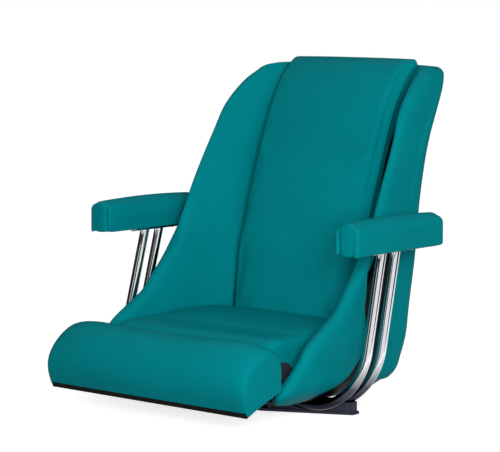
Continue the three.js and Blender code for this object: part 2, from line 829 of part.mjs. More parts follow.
// Stations that crowd towards both ends of a pad, with further ones between
const crowdShares = [0, 0.25, 1];

function padStations(low, high, endRun, middle) {
  const crowd = crowdShares.map((share) => endRun * share);
  return [...crowd.map((d) => low + d), ...middle, ...crowd.map((d) => high - d).reverse()];
}

// Fullness of a section, drawn in round a pad's ends
function roundedSize(pad, endSizes) {
  return (station) => {
    const edge = Math.min(station - pad.low, pad.high - station);
    const t = Math.min(edge / pad.endRun, 1);
    const round = Math.sqrt(1 - (1 - t) * (1 - t));
    return endSizes.map((size) => mix(size, 1, round));
  };
}

function coverAndFoam(pad) {
  const cover = layer(pad, 0, 0).subtract(layer(pad, vinyl, vinyl + cutOverrun));
  const foam = layer(pad, vinyl + gap, vinyl + gap);
  return { cover, foam };
}

// Seat cushion: bullnose front, crowned top. Its top's points are shares of the run behind the
// nose and of the crown, and its rear corner's are shares of that corner's radius.
const noseSteps = 5;
const seatTopShares = [[0.2, 0.28], [0.45, 0.95], [0.7, 1], [0.88, 0.8]];
const seatRearShares = [[0.25, 0.05], [0, 1]];
const seatAnchorShare = 0.42;
const seatEndShares = [0.86, 0.84];

function seatOutline(x) {
  const crown = seatCrown * (1 - (x / seatHalfWidth) ** 2);
  const nose = Array.from({ length: noseSteps + 1 }, (_, i) => {
    const a = ((Math.PI / 2) * i) / noseSteps;
    return [pivotY - noseReach * Math.cos(a), pivotZ + noseReach * Math.sin(a)];
  });
  const run = seatRear - pivotY;
  const top = seatTopShares.map(([along, rise]) => [pivotY + run * along, seatTop + crown * rise]);
  const rear = seatRearShares.map(([back, drop]) => [
    seatRear - seatRearRadius * back, seatTop - seatRearRadius * drop]);
  return [[pivotY - noseReach, seatBottom], ...nose.slice(1), ...top, ...rear, [seatRear, seatBottom]];
}

const seatPad = {
  low: -seatHalfWidth,
  high: seatHalfWidth,
  endRun: seatEndRun,
  stations: padStations(-seatHalfWidth, seatHalfWidth, seatEndRun,
    [-seatHalfWidth / 2, 0, seatHalfWidth / 2]),
  open: [0, -1],
  anchor: () => [mix(pivotY, seatRear, seatAnchorShare), seatBottom],
  outline: seatOutline,
  place: (p, x) => new THREE.Vector3(x, p[0], p[1]),
};
seatPad.size = roundedSize(seatPad, seatEndShares);

const seatRear = bucketRear * faceShares[0] - backCrown - gap;
const seatScrewYs = { front: -150, rear: 40 };
const seatScrewPlaces = [-1, 1].flatMap((side) =>
  Object.values(seatScrewYs).map((y) => [side * seatScrewX, y]));

function makeSeat() {
  const { cover, foam } = coverAndFoam(seatPad);
  const reach = overallReach();
  const split = seatBottom + gap + seatBoardThickness;
  const lowHalf = block(-reach, reach, -reach, reach, seatBottom + gap, split);
  const highHalf = block(-reach, reach, -reach, reach, split + gap, reach);
  let board = foam.intersect(lowHalf);
  for (const [x, y] of seatScrewPlaces) {
    board = board.subtract(disc("z", x, y, seatScrewRadius + screwClearance, 0,
      seatBottom + seatScrewBite + screwTipRoom, 8));
  }
  add("seat_board", board, "plywood");
  add("seat_foam", foam.intersect(highHalf), "foam");
  add("seat_cover", cover, "vinyl");
}

function makePlinth() {
  const low = shellBottom + shellWall + gap;
  const high = seatBottom - gap;
  const inner = plinthHalfWidth - plinthWall;
  let plinth = block(-plinthHalfWidth, plinthHalfWidth, plinthFront, plinthRear, low, high)
    .subtract(block(-inner, inner, plinthFront + plinthWall, plinthRear - plinthWall,
      low - cutOverrun, high + cutOverrun));
  for (const [x, y] of seatScrewPlaces) {
    plinth = plinth.subtract(disc("z", x, y, seatScrewRadius + screwClearance, 0, high + cutOverrun, 8));
  }
  add("seat_plinth", plinth, "plywood");
  const headTop = shellBottom - gap;
  for (const [name, y] of Object.entries(seatScrewYs)) {
    const screw = disc("z", seatScrewX, y, seatScrewHeadRadius, headTop - seatScrewHead, headTop, 8)
      .add(disc("z", seatScrewX, y, seatScrewRadius, headTop - joinBite, seatBottom + seatScrewBite, 8));
    add(`seat_screw_${name}_left`, screw, "steel");
    add(`seat_screw_${name}_right`, mirrored(screw), "steel");
  }
}

// Back cushion: crowned plan sections up the back, with a faint sewn crease across
const sideBulgeShare = 0.5;
const crownWidthShare = 0.45;
const crownRiseShare = 0.8;
const backEndShares = [0.93, 0.5];
// A pad's rounded edge, as shares of its radius from the side and from the face
const roundEdgeShares = [[0, 1], [0.3, 0.3], [1, 0]];

function backOutline(z) {
  const clamped = Math.min(z, padTop);
  const level = bucketAt(clamped);
  const above = Math.max(z - padTop, 0);
  const rear = level.rear - wallInner - gap;
  const [below, top] = levels.slice(-2);
  const lean = (top.face - below.face) / (top.z - below.z);
  const face = level.face + above * lean;
  const crease = creaseDepth * Math.max(0, 1 - Math.abs(z - creaseHeight) / creaseHalfHeight);
  const w = backHalfWidth;
  const r = backEdgeRadius;
  const half = [
    [w - backFootTaper, rear],
    [w, mix(rear, face + r, sideBulgeShare)],
    ...roundEdgeShares.map(([out, back]) => [w - r * out, face + r * back]),
    [w * crownWidthShare, face - backCrown * crownRiseShare + crease],
  ];
  return [...half, ...half.map(([x, y]) => [-x, y]).reverse()];
}

const backStations = padStations(backBottom, backTop, backEndRun, [
  ...levels.map((level) => level.z),
  creaseHeight - creaseHalfHeight, creaseHeight, creaseHeight + creaseHalfHeight,
].filter((z) => z > backBottom + backEndRun && z < backTop - backEndRun).sort((a, b) => a - b));
const backPad = {
  low: backBottom,
  high: backTop,
  endRun: backEndRun,
  stations: backStations,
  open: [0, 1],
  anchor: (z) => [0, bucketAt(Math.min(z, padTop)).rear - wallInner - gap],
  outline: backOutline,
  place: (p, z) => new THREE.Vector3(p[0], p[1], z),
};
backPad.size = roundedSize(backPad, backEndShares);

function makeBack() {
  const { cover, foam } = coverAndFoam(backPad);
  add("back_board", backBoardSolid(0, 0), "plywood");
  add("back_foam", foam.subtract(backBoardSolid(gap, cutOverrun)), "foam");
  add("back_cover", cover, "vinyl");
}

// The board behind the foam, grown by a margin, with its rear face carried on by an overrun
function backBoardSolid(margin, overrun) {
  const low = backBottom + backBoardInset - margin;
  const high = padTop - backBoardInset + margin;
  const half = backHalfWidth - backBoardInset + margin;
  const between = levels.filter((level) => level.z > low && level.z < high);
  return solidOf(loft([bucketAt(low), ...between, bucketAt(high)].map((level) => {
    const rear = level.rear - wallInner - gap;
    const front = rear - backBoardThickness - margin;
    return ringAt([[half, rear + overrun], [half, front], [-half, front], [-half, rear + overrun]], level.z);
  })));
}

// Bolster: a roll on a sloping board. Its section's points are shares of its depth and height.
const bolsterShares = [
  [0.03, 0.26], [0, 0.44], [0.04, 0.61], [0.15, 0.77], [0.33, 0.905], [0.52, 0.98],
  [0.68, 1], [0.83, 0.955], [0.93, 0.84], [0.985, 0.67], [1, 0.53],
];
const bolsterFootShare = 0.1;
const bolsterAnchorShare = 0.58;
const bolsterEndShares = [0.84, 0.84];

function bolsterFloor(y, height) {
  const rise = (y - bolsterFloorFront) * Math.tan(bolsterSlope);
  return bolsterFrontBottom + rise + height / Math.cos(bolsterSlope);
}

const bolsterRear = pivotY - noseReach - bolsterClearance;

const bolsterDepth = bolsterRear - bolsterFront;
const bolsterFootY = bolsterFront + bolsterDepth * bolsterFootShare;
const bolsterOutlinePoints = 15;

function bolsterOutline() {
  const low = bolsterFrontBottom;
  const height = bolsterTop - low;
  const curve = smooth(bolsterShares.map(([a, b]) => [bolsterFront + bolsterDepth * a, low + height * b]),
    bolsterOutlinePoints);
  const lift = bolsterBoardThickness + gap;
  const frontY = bolsterFootY;
  const rearY = bolsterRear - bolsterRearTuck;
  return [[frontY, bolsterFloor(frontY, lift)], ...curve, [rearY, bolsterFloor(rearY, lift)]];
}

const bolsterPad = {
  low: -bolsterHalfWidth,
  high: bolsterHalfWidth,
  endRun: bolsterEndRun,
  stations: padStations(-bolsterHalfWidth, bolsterHalfWidth, bolsterEndRun, [0]),
  open: [Math.sin(bolsterSlope), -Math.cos(bolsterSlope)],
  anchor: () => {
    const y = mix(bolsterFront, bolsterRear, bolsterAnchorShare);
    return [y, bolsterFloor(y, bolsterBoardThickness + gap)];
  },
  outline: bolsterOutline,
  place: (p, x) => new THREE.Vector3(x, p[0], p[1]),
};
bolsterPad.size = roundedSize(bolsterPad, bolsterEndShares);

function bolsterStrip(fromY, toY, fromHeight, toHeight) {
  const along = (y, height) => [y, bolsterFloor(y, height)];
  return [along(fromY, fromHeight), along(toY, fromHeight), along(toY, toHeight), along(fromY, toHeight)];
}

function makeBolster() {
  const { cover, foam } = coverAndFoam(bolsterPad);
  const frontY = bolsterFootY + bolsterBoardInset;
  const half = bolsterHalfWidth - bolsterBoardInset;
  let board = prism("x", bolsterStrip(frontY, boardRear, 0, bolsterBoardThickness), -half, half);
  for (const tool of bolsterStuds(screwClearance)) board = board.subtract(tool);
  add("bolster_board", board, "shell");
  add("bolster_foam", foam, "foam");
  add("bolster_cover", cover, "vinyl");
}

// Studs on the arms' flanges, square to the bolster board that they hold
const bolsterStudYs = [-296, -262];
const armInner = seatHalfWidth + armGapToSeat;
const armOuter = armInner + armThickness;
const bolsterStudX = armInner - armFlangeWidth / 2;
const boardRear = bolsterRear - bolsterBoardInset;

function bolsterStuds(extra) {
  const top = bolsterBoardThickness - footStudRadius + extra;
  return [-1, 1].flatMap((side) => bolsterStudYs.map((y) =>
    disc("z", 0, 0, footStudRadius + extra, -gap - joinBite, top, 8)
      .rotate([THREE.MathUtils.radToDeg(bolsterSlope), 0, 0])
      .translate([side * bolsterStudX, y, bolsterFloor(y, 0)])));
}

function makeHinges() {
  const bladeFront = armBladeFront;
  const hub = circle(pivotY, pivotZ, hingeHubRadius, 16);
  const hubLowY = pivotY - hingeHubRadius * neckShares[0];
  const neckLow = pivotZ - hingeHubRadius * neckShares[1];
  const blade = [
    [bladeFront, bolsterFloor(bladeFront, -gap)],
    [boardRear, bolsterFloor(boardRear, -gap)],
    [boardRear + armThickness, bolsterFloor(boardRear, bolsterBoardThickness)],
    [pivotY, pivotZ + hingeHubRadius * neckShares[2]],
    [hubLowY, neckLow],
    [boardRear, bolsterFloor(boardRear, -armBladeDepth)],
    [bladeFront + armBladeDepth, bolsterFloor(bladeFront + armBladeDepth, -armBladeDepth)],
    [bladeFront, bolsterFloor(bladeFront, -armThickness)],
  ];
  const flange = prism("x", bolsterStrip(bladeFront, boardRear, -armThickness - gap, -gap),
    armInner - armFlangeWidth, armInner + joinBite);
  let arm = prism("x", blade, armInner, armOuter)
    .add(prism("x", hub, armInner, armOuter))
    .add(flange)
    .subtract(disc("x", pivotY, pivotZ, bushRadius + gap, armInner - cutOverrun, armOuter + cutOverrun, 16));
  for (const stud of bolsterStuds(0).slice(bolsterStudYs.length)) arm = arm.add(stud);
  const bush = disc("x", pivotY, pivotZ, bushRadius, armInner, armOuter, 16)
    .subtract(disc("x", pivotY, pivotZ, pinRadius + gap, armInner - cutOverrun, armOuter + cutOverrun, 16));

  const webInner = armOuter + gap;
  const webOuter = webInner + armThickness;
  const footBottom = shellBottom + shellWall + gap;
  const footTop = footBottom + armThickness;
  const bracketHub = circle(pivotY, pivotZ, bracketHubRadius, 16);
  const web = [
    [bracketFront, footBottom], [bracketRear, footBottom],
    [pivotY + bracketHubRadius, pivotZ], [pivotY - bracketHubRadius, pivotZ],
    [bracketFront, mix(footBottom, pivotZ, bracketRiseShare)],
  ];
  let bracket = prism("x", web, webInner, webOuter)
    .add(prism("x", bracketHub, webInner, webOuter))
    .add(block(webOuter - bracketFootDepth, webOuter, bracketFront, bracketRear, footBottom, footTop))
    .subtract(disc("x", pivotY, pivotZ, pinRadius + gap, webInner - cutOverrun, webOuter + cutOverrun, 16));
  for (const [x, y] of footStudPlaces.filter((place) => place[0] > 0)) {
    bracket = bracket.add(disc("z", x, y, footStudRadius, shellBottom, footBottom + joinBite, 8));
  }
  const headOuterFace = armInner - gap;
  const pin = disc("x", pivotY, pivotZ, pinHeadRadius, headOuterFace - pinHeadThickness, headOuterFace, 16)
    .add(disc("x", pivotY, pivotZ, pinRadius, headOuterFace - joinBite, webOuter + joinBite, 16))
    .add(disc("x", pivotY, pivotZ, pinTailRadius, webOuter + gap, webOuter + pinHeadThickness, 16));
  const bumperY = bracketFront + bumperRadius + bumperInset;
  const neckAt = (y) => mix(neckLow, bolsterFloor(boardRear, -armBladeDepth),
    (y - hubLowY) / (boardRear - hubLowY));
  const neckTilt = Math.atan2(bolsterFloor(boardRear, -armBladeDepth) - neckLow, boardRear - hubLowY);
  const bumperZ = neckAt(bumperY) - (bumperRadius + gap) / Math.abs(Math.cos(neckTilt));
  const bumper = disc("x", bumperY, bumperZ, bumperRadius, armInner, armOuter, 12);
  add("bolster_arm_left", arm, "casting");
  add("bolster_arm_right", mirrored(arm), "casting");
  add("pivot_bush_left", bush, "nylon");
  add("pivot_bush_right", mirrored(bush), "nylon");
  add("hinge_bracket_left", bracket, "casting");
  add("hinge_bracket_right", mirrored(bracket), "casting");
  add("pivot_pin_left", pin, "casting");
  add("pivot_pin_right", mirrored(pin), "casting");
  add("bolster_bumper_left", bumper, "rubber");
  add("bolster_bumper_right", mirrored(bumper), "rubber");
}

const footStudX = armOuter + gap + armThickness - bracketFootDepth + 2 * footStudRadius;
const footStudPlaces = [-1, 1].flatMap((side) =>
  [bracketFront + footStudInset, bracketRear - footStudInset].map((y) => [side * footStudX, y]));

// Armrests: padded boards on plates across the tube ends
const armEndShares = [0.82, 0.86];
const armMiddleShares = [0.25, 0.5, 0.75];

function armOutline(y) {
  const outer = armHalfWidth;
  const inner = armHalfWidth - armPadWidth;
  const low = armPadBottom;
  const fromMiddle = (y - armPadFront) / armPadLength * 2 - 1;
  const high = armPadBottom + armPadHeight - armArch * fromMiddle * fromMiddle;
  const r = armEdgeRadius;
  const middle = (inner + outer) / 2;
  const corner = roundEdgeShares.map(([side, top]) => [r * side, high - r * top]);
  return [
    [outer - armFootTaper, low],
    [outer, low + r],
    ...corner.map(([x, z]) => [outer - x, z]),
    [middle, high + armCrown],
    ...corner.map(([x, z]) => [inner + x, z]).reverse(),
    [inner, low + r],
    [inner + armFootTaper, low],
  ];
}

const armPad = {
  low: armPadFront,
  high: armPadFront + armPadLength,
  endRun: armEndRun,
  stations: padStations(armPadFront, armPadFront + armPadLength, armEndRun,
    armMiddleShares.map((share) => armPadFront + armPadLength * share)),
  open: [0, -1],
  anchor: () => [armHalfWidth - armPadWidth / 2, armPadBottom],
  outline: armOutline,
  place: (p, y) => new THREE.Vector3(p[0], y, p[1]),
};
armPad.size = roundedSize(armPad, armEndShares);

const armScrewYs = {
  front: armPlateFront + armScrewMargin,
  rear: armPlateFront + armPlateLength - armScrewMargin,
};
const armScrewX = hoopTopHalfWidth + armPlateWidth / 6;

function makeArms() {
  const { cover, foam } = coverAndFoam(armPad);
  const reach = overallReach();
  const split = armPadBottom + gap + armBoardThickness;
  let board = foam.intersect(block(-reach, reach, -reach, reach, armPadBottom + gap, split));
  const padFoam = foam.intersect(block(-reach, reach, -reach, reach, split + gap, reach));
  const plateInner = armHalfWidth - armPadWidth + armPlateInset;
  let plate = block(plateInner, plateInner + armPlateWidth, armPlateFront, armPlateFront + armPlateLength,
    armPlateBottom, armPlateTop);
  const pieces = [];
  for (const [name, y] of Object.entries(armScrewYs)) {
    const tool = disc("z", armScrewX, y, armScrewRadius + screwClearance, armPlateBottom - cutOverrun,
      split - screwTipRoom, 8);
    board = board.subtract(tool);
    plate = plate.subtract(tool);
    const headTop = armPlateBottom - gap;
    const screw = disc("z", armScrewX, y, 2 * armScrewRadius, headTop - armScrewRadius, headTop, 8)
      .add(disc("z", armScrewX, y, armScrewRadius, headTop - joinBite, split - 2 * screwTipRoom, 8));
    pieces.push([`arm_screw_${name}`, screw, "steel"]);
  }
  pieces.push(["arm_plate", plate, "chrome"], ["arm_board", board, "plywood"],
    ["arm_foam", padFoam, "foam"], ["arm_cover", cover, "vinyl"]);
  for (const [name, solid, look] of pieces) {
    add(`${name}_left`, solid, look);
    add(`${name}_right`, mirrored(solid), look);
  }
}

makeBasePlate();
makeMountBolts();
makeHoops();
makeHoopMounts();
makeShell();
makePlinth();
makeSeat();
makeBack();
makeWings();
makeRearPanel();
makeBolster();
makeHinges();
makeArms();

export default seat;
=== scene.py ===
import math

import bpy
import numpy as np
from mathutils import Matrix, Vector
from mathutils.geometry import tessellate_polygon


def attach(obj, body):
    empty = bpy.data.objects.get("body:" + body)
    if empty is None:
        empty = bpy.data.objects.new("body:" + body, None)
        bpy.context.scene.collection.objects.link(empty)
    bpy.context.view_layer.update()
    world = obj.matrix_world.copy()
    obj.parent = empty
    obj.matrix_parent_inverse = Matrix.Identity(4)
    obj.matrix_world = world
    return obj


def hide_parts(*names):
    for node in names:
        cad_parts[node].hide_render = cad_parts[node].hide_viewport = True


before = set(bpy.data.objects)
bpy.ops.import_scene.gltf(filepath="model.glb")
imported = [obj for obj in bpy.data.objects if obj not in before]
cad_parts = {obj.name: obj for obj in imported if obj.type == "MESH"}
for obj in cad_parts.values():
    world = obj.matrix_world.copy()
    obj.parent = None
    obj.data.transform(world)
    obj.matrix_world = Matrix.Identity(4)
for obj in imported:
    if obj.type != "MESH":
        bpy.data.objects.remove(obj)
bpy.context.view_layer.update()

MM = 0.001
ROOT = "seat_frame"
BOLSTER = "bolster"


# Driving sizes. Most are the CAD model's, and some of the pads' own differ by a few millimetres.

GAP = 0.3

BUCKET_SIDE = 66
BUCKET_REAR = 320
PAD_BOTTOM = 36.3
PAD_TOP = 650
EDGE_FRONT = -232
EDGE_REAR = 262
BUCKET_CORNER = 35
PANEL_THICKNESS = 8
SHELL_WALL = 6
SHELL_BELOW_TOP = 14
PANEL_ROLL = 4
TOP_ROLL = 7
TOP_CROWN = 4
TOP_CROWN_RUN = 80
SHELL_BOTTOM = 30
SHELL_FLOOR_HALF_WIDTH = 205
SHELL_FLOOR_REAR = 75
PANEL_TUCK = 1.2
WING_END = 3.4
TOP_ROUND = 28
TOP_ROUND_RUN = 32
FRONT_ROUND = 11
FRONT_ROUND_RUN = 44
WING_FOOT_LIFT = 3
EDGE_PAD = 28
EDGE_PAD_SHARE = 0.6
WING_INNER = 218.5
JUNCTION_HALF_WIDTH = 168
JUNCTION_FLARE = 6
LOW_JOIN_OUT = 5.5
CUSHION_PROUD = 34
BACK_BEVEL = 11
BACK_BEVEL_DEPTH = 26
BACK_BEVEL_SHARE = 0.6
BACK_NECK = 10
NECK_FADE = 500
NECK_FADE_RUN = 110
SLOT_WIDTH = 6
SLOT_DEPTH = 16
SLOT_SHARES = [0, 0, 0, 0, 0, 0, 0.1, 0.3, 0.7, 1, 1, 0.7, 0.3, 0.1, 0, 0]
REAR_PANEL_BOTTOM = 50

BACK_HALF_WIDTH = 160
BACK_BOTTOM = 100
BACK_TOP = 665
BACK_CROWN = 7
BACK_EDGE_RADIUS = 14
BACK_END_RUN = 14
CREASE_HEIGHT = 487
CREASE_DEPTH = 2.2
CREASE_HALF = 4
DIMPLE_X = 113
DIMPLE_RADIUS = 6
DIMPLE_DEPTH = 2.6

SEAT_HALF_WIDTH = 200
SEAT_BOTTOM = 95
SEAT_TOP = 155
SEAT_CROWN = 9
SEAT_REAR_RADIUS = 10
SEAT_END_RUN = 24

PIVOT_Y = -175
PIVOT_Z = 97
NOSE_REACH = 58
BOLSTER_HALF_WIDTH = 254
BOLSTER_FRONT = -347
BOLSTER_REAR = PIVOT_Y - NOSE_REACH - 3.5
BOLSTER_TOP = 165
BOLSTER_DIP = 3
BOLSTER_FRONT_BOTTOM = 34
BOLSTER_FLOOR_FRONT = -331
BOLSTER_SLOPE = math.radians(23.1)
BOLSTER_BOARD = 12
BOLSTER_END_RUNS = (15, 95)
BOLSTER_END_SIZES = (0.94, 0.73)
BOLSTER_LIP = 2.5
BOLSTER_LIP_WIDTH = 1.8
SKIRT_THICKNESS = 3.6
SKIRT_DROP = 9

ARM_HALF_WIDTH = 345
ARM_PAD_WIDTH = 54
ARM_PAD_FRONT = -128.5
ARM_PAD_LENGTH = 272
ARM_PAD_BOTTOM = 315.4
ARM_PAD_HEIGHT = 60
ARM_CROWN = 5.5
ARM_ARCH = 3
ARM_EDGE_RADIUS = 13
ARM_END_RUNS = (8, 8)
ARM_END_SIZES = (0.84, 0.93)
ARM_PLATE_THICKNESS = 3

TUBE_RADIUS = 9.5
TUBE_WALL = 1.5
HOOP_BOTTOM = 17
HOOP_BEND = 108
HOOP_HALF_WIDTH = 312
HOOP_TOP_HALF_WIDTH = 307
HOOP_LEAN = 0.265
HOOP_FRONT_Y = -83.5
HOOP_SPACING = 43

LEVEL_SHARES = [
    0, 0.03, 0.1, 0.13, 0.175, 0.215, 0.26, 0.31, 0.41, 0.5, 0.62, 0.78, 0.86, 0.92, 0.967, 1,
]
EDGE_SHARES = [
    0.02, 0, 0.069, 0.103, 0.146, 0.227, 0.32, 0.379, 0.498, 0.555, 0.625, 0.733, 0.786, 0.852,
    0.918, 0.98,
]
SIDE_SHARES = [
    0.545, 0.803, 0.94, 0.972, 1, 0.984, 0.96, 0.94, 0.895, 0.847, 0.786, 0.666, 0.597, 0.557,
    0.516, 0.476,
]
REAR_SHARES = [
    0.306, 0.378, 0.447, 0.465, 0.484, 0.5, 0.522, 0.547, 0.596, 0.629, 0.684, 0.803, 0.892, 0.953,
    0.99, 1.01,
]
FACE_SHARES = [
    0.256, 0.256, 0.256, 0.256, 0.256, 0.262, 0.272, 0.284, 0.314, 0.369, 0.448, 0.563, 0.628, 0.694,
    0.756, 0.819,
]
WRAP_SHARES = [0.235] * 9 + [0.21, 0.17, 0.14, 0.125, 0.118, 0.114, 0.112]
FLAP_SHARES = [0.27, 0.515, 0.67, 0.69, 0.67, 0.59, 0.445, 0.35, 0.1] + [1] * 7
SQUARE_SHARES = [1, 1, 1, 1, 1, 0.9, 0.75, 0.6, 0.4, 0.2, 0, 0, 0, 0, 0, 0]
NOSE_WIDTH_SHARE = 1.35
NOSE_SHARES = [(0, 1), (0.16, 0.42), (0.5, 0), (0.95, 0.1), (NOSE_WIDTH_SHARE, 0.62)]
NOSE_RADII = [22] * 8 + [20, 17, 14, 14, 17, 21, 23, 23]
NOSE_ROOM = 0.4
HIGH_NOSE_SHARES = [(0, 2), (0.14, 0.8), (0.55, 0.06), (0.98, 0.1), (NOSE_WIDTH_SHARE, 0.62)]
LOW_JOIN_SHARES = [0.09, 0.28, 0.95]
SQUARE_BEND_SHARE = 0.45


# Curves

def mix(a, b, t):
    return a + (b - a) * t


def ramp(distance, run, least=0):
    """Grows from 0, or from the least, to 1 along a run."""
    return np.clip(distance / run, least, 1)


def bell(distance, width):
    """1 in the middle and less towards both sides."""
    return np.exp(-((distance / width) ** 2))


def ease_through(xs, ys, x):
    """A smooth curve through points that never overshoots them; ys may hold whole rings."""
    xs, ys, x = np.asarray(xs, float), np.asarray(ys, float), np.asarray(x, float)
    shape = (-1,) + (1,) * (ys.ndim - 1)
    step = np.diff(xs).reshape(shape)
    slope = np.diff(ys, axis=0) / step
    before, after = slope[:-1], slope[1:]
    middle = (before * step[1:] + after * step[:-1]) / (step[1:] + step[:-1])
    limit = 3 * np.minimum(abs(before), abs(after))
    middle = np.where(before * after <= 0, 0, np.clip(middle, -limit, limit))
    tangent = np.concatenate([slope[:1], middle, slope[-1:]])
    i = np.clip(np.searchsorted(xs, x, side="right") - 1, 0, len(xs) - 2)
    h = step[i]
    t = ((x - xs[i]).reshape(shape)) / h
    return (ys[i] * (1 + 2 * t) * (1 - t) ** 2 + ys[i + 1] * t * t * (3 - 2 * t)
            + tangent[i] * h * t * (1 - t) ** 2 + tangent[i + 1] * h * t * t * (t - 1))


def curve_through(points, counts):
    """Each row of points becomes one smooth open line, with so many steps between its points."""
    points = np.asarray(points, float)
    leg = np.sqrt(np.linalg.norm(np.diff(points, axis=-2), axis=-1, keepdims=True)) + 1e-6
    slope = np.diff(points, axis=-2) / leg
    before, after = slope[..., :-1, :], slope[..., 1:, :]
    middle = (before * leg[..., 1:, :] + after * leg[..., :-1, :]) / (leg[..., 1:, :] + leg[..., :-1, :])
    tangent = np.concatenate([slope[..., :1, :], middle, slope[..., -1:, :]], axis=-2)
    pieces = []
    for i, count in enumerate(counts):
        t = (np.arange(count) / count)[:, None]
        a, b = points[..., i : i + 1, :], points[..., i + 1 : i + 2, :]
        h = leg[..., i : i + 1, :]
        pieces.append(a * (1 + 2 * t) * (1 - t) ** 2 + b * t * t * (3 - 2 * t)
                      + tangent[..., i : i + 1, :] * h * t * (1 - t) ** 2
                      + tangent[..., i + 1 : i + 2, :] * h * t * t * (t - 1))
    pieces.append(points[..., -1:, :])
    return np.concatenate(pieces, axis=-2)


def straight_through(points, counts):
    """As curve_through, with straight steps, and without the first and last point."""
    points = np.asarray(points, float)
    pieces = []
    for i, count in enumerate(counts):
        t = (np.arange(count) / count)[:, None]
        pieces.append(mix(points[..., i : i + 1, :], points[..., i + 1 : i + 2, :], t))
    return np.concatenate(pieces, axis=-2)[..., 1:, :]


def inset_ring(ring, distance):
    """Moves a closed ring of flat points inwards."""
    after, before = np.roll(ring, -1, axis=0), np.roll(ring, 1, axis=0)
    area = np.sum(ring[:, 0] * after[:, 1] - after[:, 0] * ring[:, 1])
    along = after - before
    length = np.maximum(np.linalg.norm(along, axis=1, keepdims=True), 1e-9)
    normal = np.stack([-along[:, 1], along[:, 0]], axis=1) / length * np.sign(area)
    return ring + normal * distance


# Meshes

def make_object(name, vertices, faces):
    mesh = bpy.data.meshes.new(name)
    mesh.from_pydata([tuple(v) for v in np.asarray(vertices) * MM], [], [tuple(f) for f in faces])
    mesh.validate()
    mesh.update()
    obj = bpy.data.objects.new(name, mesh)
    bpy.context.scene.collection.objects.link(obj)
    for polygon in mesh.polygons:
        polygon.use_smooth = True
    return obj


def ring_faces(count, around, closed=False):
    """Quads between rings of vertices, and from the last ring to the first if that is closed."""
    faces = []
    for r in range(count if closed else count - 1):
        s = (r + 1) % count
        for i in range(around):
            j = (i + 1) % around
            faces.append((r * around + i, r * around + j, s * around + j, s * around + i))
    return faces


def ring_body(name, rings, ends="fan"):
    """A closed mesh through rings of points. Its ends are fans round a middle point, or flat fills."""
    rings = np.asarray(rings, float)
    count, around = rings.shape[:2]
    vertices = [p for ring in rings for p in ring]
    faces = ring_faces(count, around)
    for r, flip in ((0, True), (count - 1, False)):
        first = r * around
        if ends == "fan":
            centre = len(vertices)
            vertices.append(rings[r].mean(axis=0))
            cap = [(first + i, first + (i + 1) % around, centre) for i in range(around)]
        else:
            cap = [tuple(first + k for k in tri) for tri in fill(rings[r])]
        faces += [tuple(reversed(f)) if flip else f for f in cap]
    return make_object(name, vertices, outward(vertices, faces))


def fill(ring):
    """Triangles across a flat ring, wound as the ring is."""
    points = [Vector(p) for p in ring]
    triangles = tessellate_polygon([points])
    normal = np.sum([np.cross(ring[i], ring[(i + 1) % len(ring)]) for i in range(len(ring))], axis=0)
    wound = []
    for a, b, c in triangles:
        turn = np.dot(np.cross(ring[b] - ring[a], ring[c] - ring[a]), normal)
        wound.append((a, b, c) if turn > 0 else (a, c, b))
    return wound


def outward(vertices, faces):
    """Turns every face round if the closed mesh is inside out."""
    volume = 0.0
    v = np.asarray(vertices)
    for f in faces:
        for i in range(1, len(f) - 1):
            volume += np.dot(v[f[0]], np.cross(v[f[i]], v[f[i + 1]]))
    return [tuple(reversed(f)) for f in faces] if volume < 0 else faces


def points_of(obj):
    co = np.zeros(len(obj.data.vertices) * 3)
    obj.data.vertices.foreach_get("co", co)
    return co.reshape(-1, 3) / MM


def set_points(obj, points):
    obj.data.vertices.foreach_set("co", (points * MM).ravel())
    obj.data.update()


def mirrored_copy(obj, name):
    copy = obj.copy()
    copy.data = obj.data.copy()
    copy.name = copy.data.name = name
    points = points_of(copy)
    points[:, 0] *= -1
    set_points(copy, points)
    copy.data.flip_normals()
    bpy.context.scene.collection.objects.link(copy)
    return copy


CLOTH = {
    "quality": 6, "mass": 0.4, "tension_stiffness": 30, "compression_stiffness": 30,
    "shear_stiffness": 12, "bending_stiffness": 2, "use_pressure": True, "uniform_pressure_force": 4,
    "vertex_group_mass": "fixed",
}
CLOTH_FRAMES = 20


def settle(obj, free, most):
    """Puffs a pad as cloth, by so much at most. free is 0 where it is fixed and 1 where it may move."""
    start = points_of(obj)
    group = obj.vertex_groups.new(name="fixed")
    for i, value in enumerate(1 - free):
        if value > 0.01:
            group.add([i], float(value), "REPLACE")
    cloth = obj.modifiers.new("cloth", "CLOTH")
    for setting, value in CLOTH.items():
        setattr(cloth.settings, setting, value)
    cloth.settings.effector_weights.gravity = 0
    cloth.collision_settings.use_collision = False
    cloth.point_cache.frame_start = 1
    cloth.point_cache.frame_end = CLOTH_FRAMES
    scene = bpy.context.scene
    for number in range(1, CLOTH_FRAMES + 1):
        scene.frame_set(number)
    evaluated = obj.evaluated_get(bpy.context.evaluated_depsgraph_get())
    moved = np.zeros(len(obj.data.vertices) * 3)
    evaluated.data.vertices.foreach_get("co", moved)
    shift = moved.reshape(-1, 3) / MM - start
    length = np.linalg.norm(shift, axis=1, keepdims=True)
    shift *= np.minimum(1, most / np.maximum(length, 1e-9))
    obj.modifiers.remove(cloth)
    obj.vertex_groups.remove(group)
    set_points(obj, start + shift)
    scene.frame_set(1)


def reader(table):
    """A level table as a smooth function of height."""
    def read(z):
        share = np.clip((np.atleast_1d(z) - PAD_BOTTOM) / (PAD_TOP - PAD_BOTTOM), 0, 1)
        return ease_through(LEVEL_SHARES, table, share)
    return read


read_side, read_rear, read_edge = reader(SIDE_SHARES), reader(REAR_SHARES), reader(EDGE_SHARES)
read_wrap, read_face = reader(WRAP_SHARES), reader(FACE_SHARES)


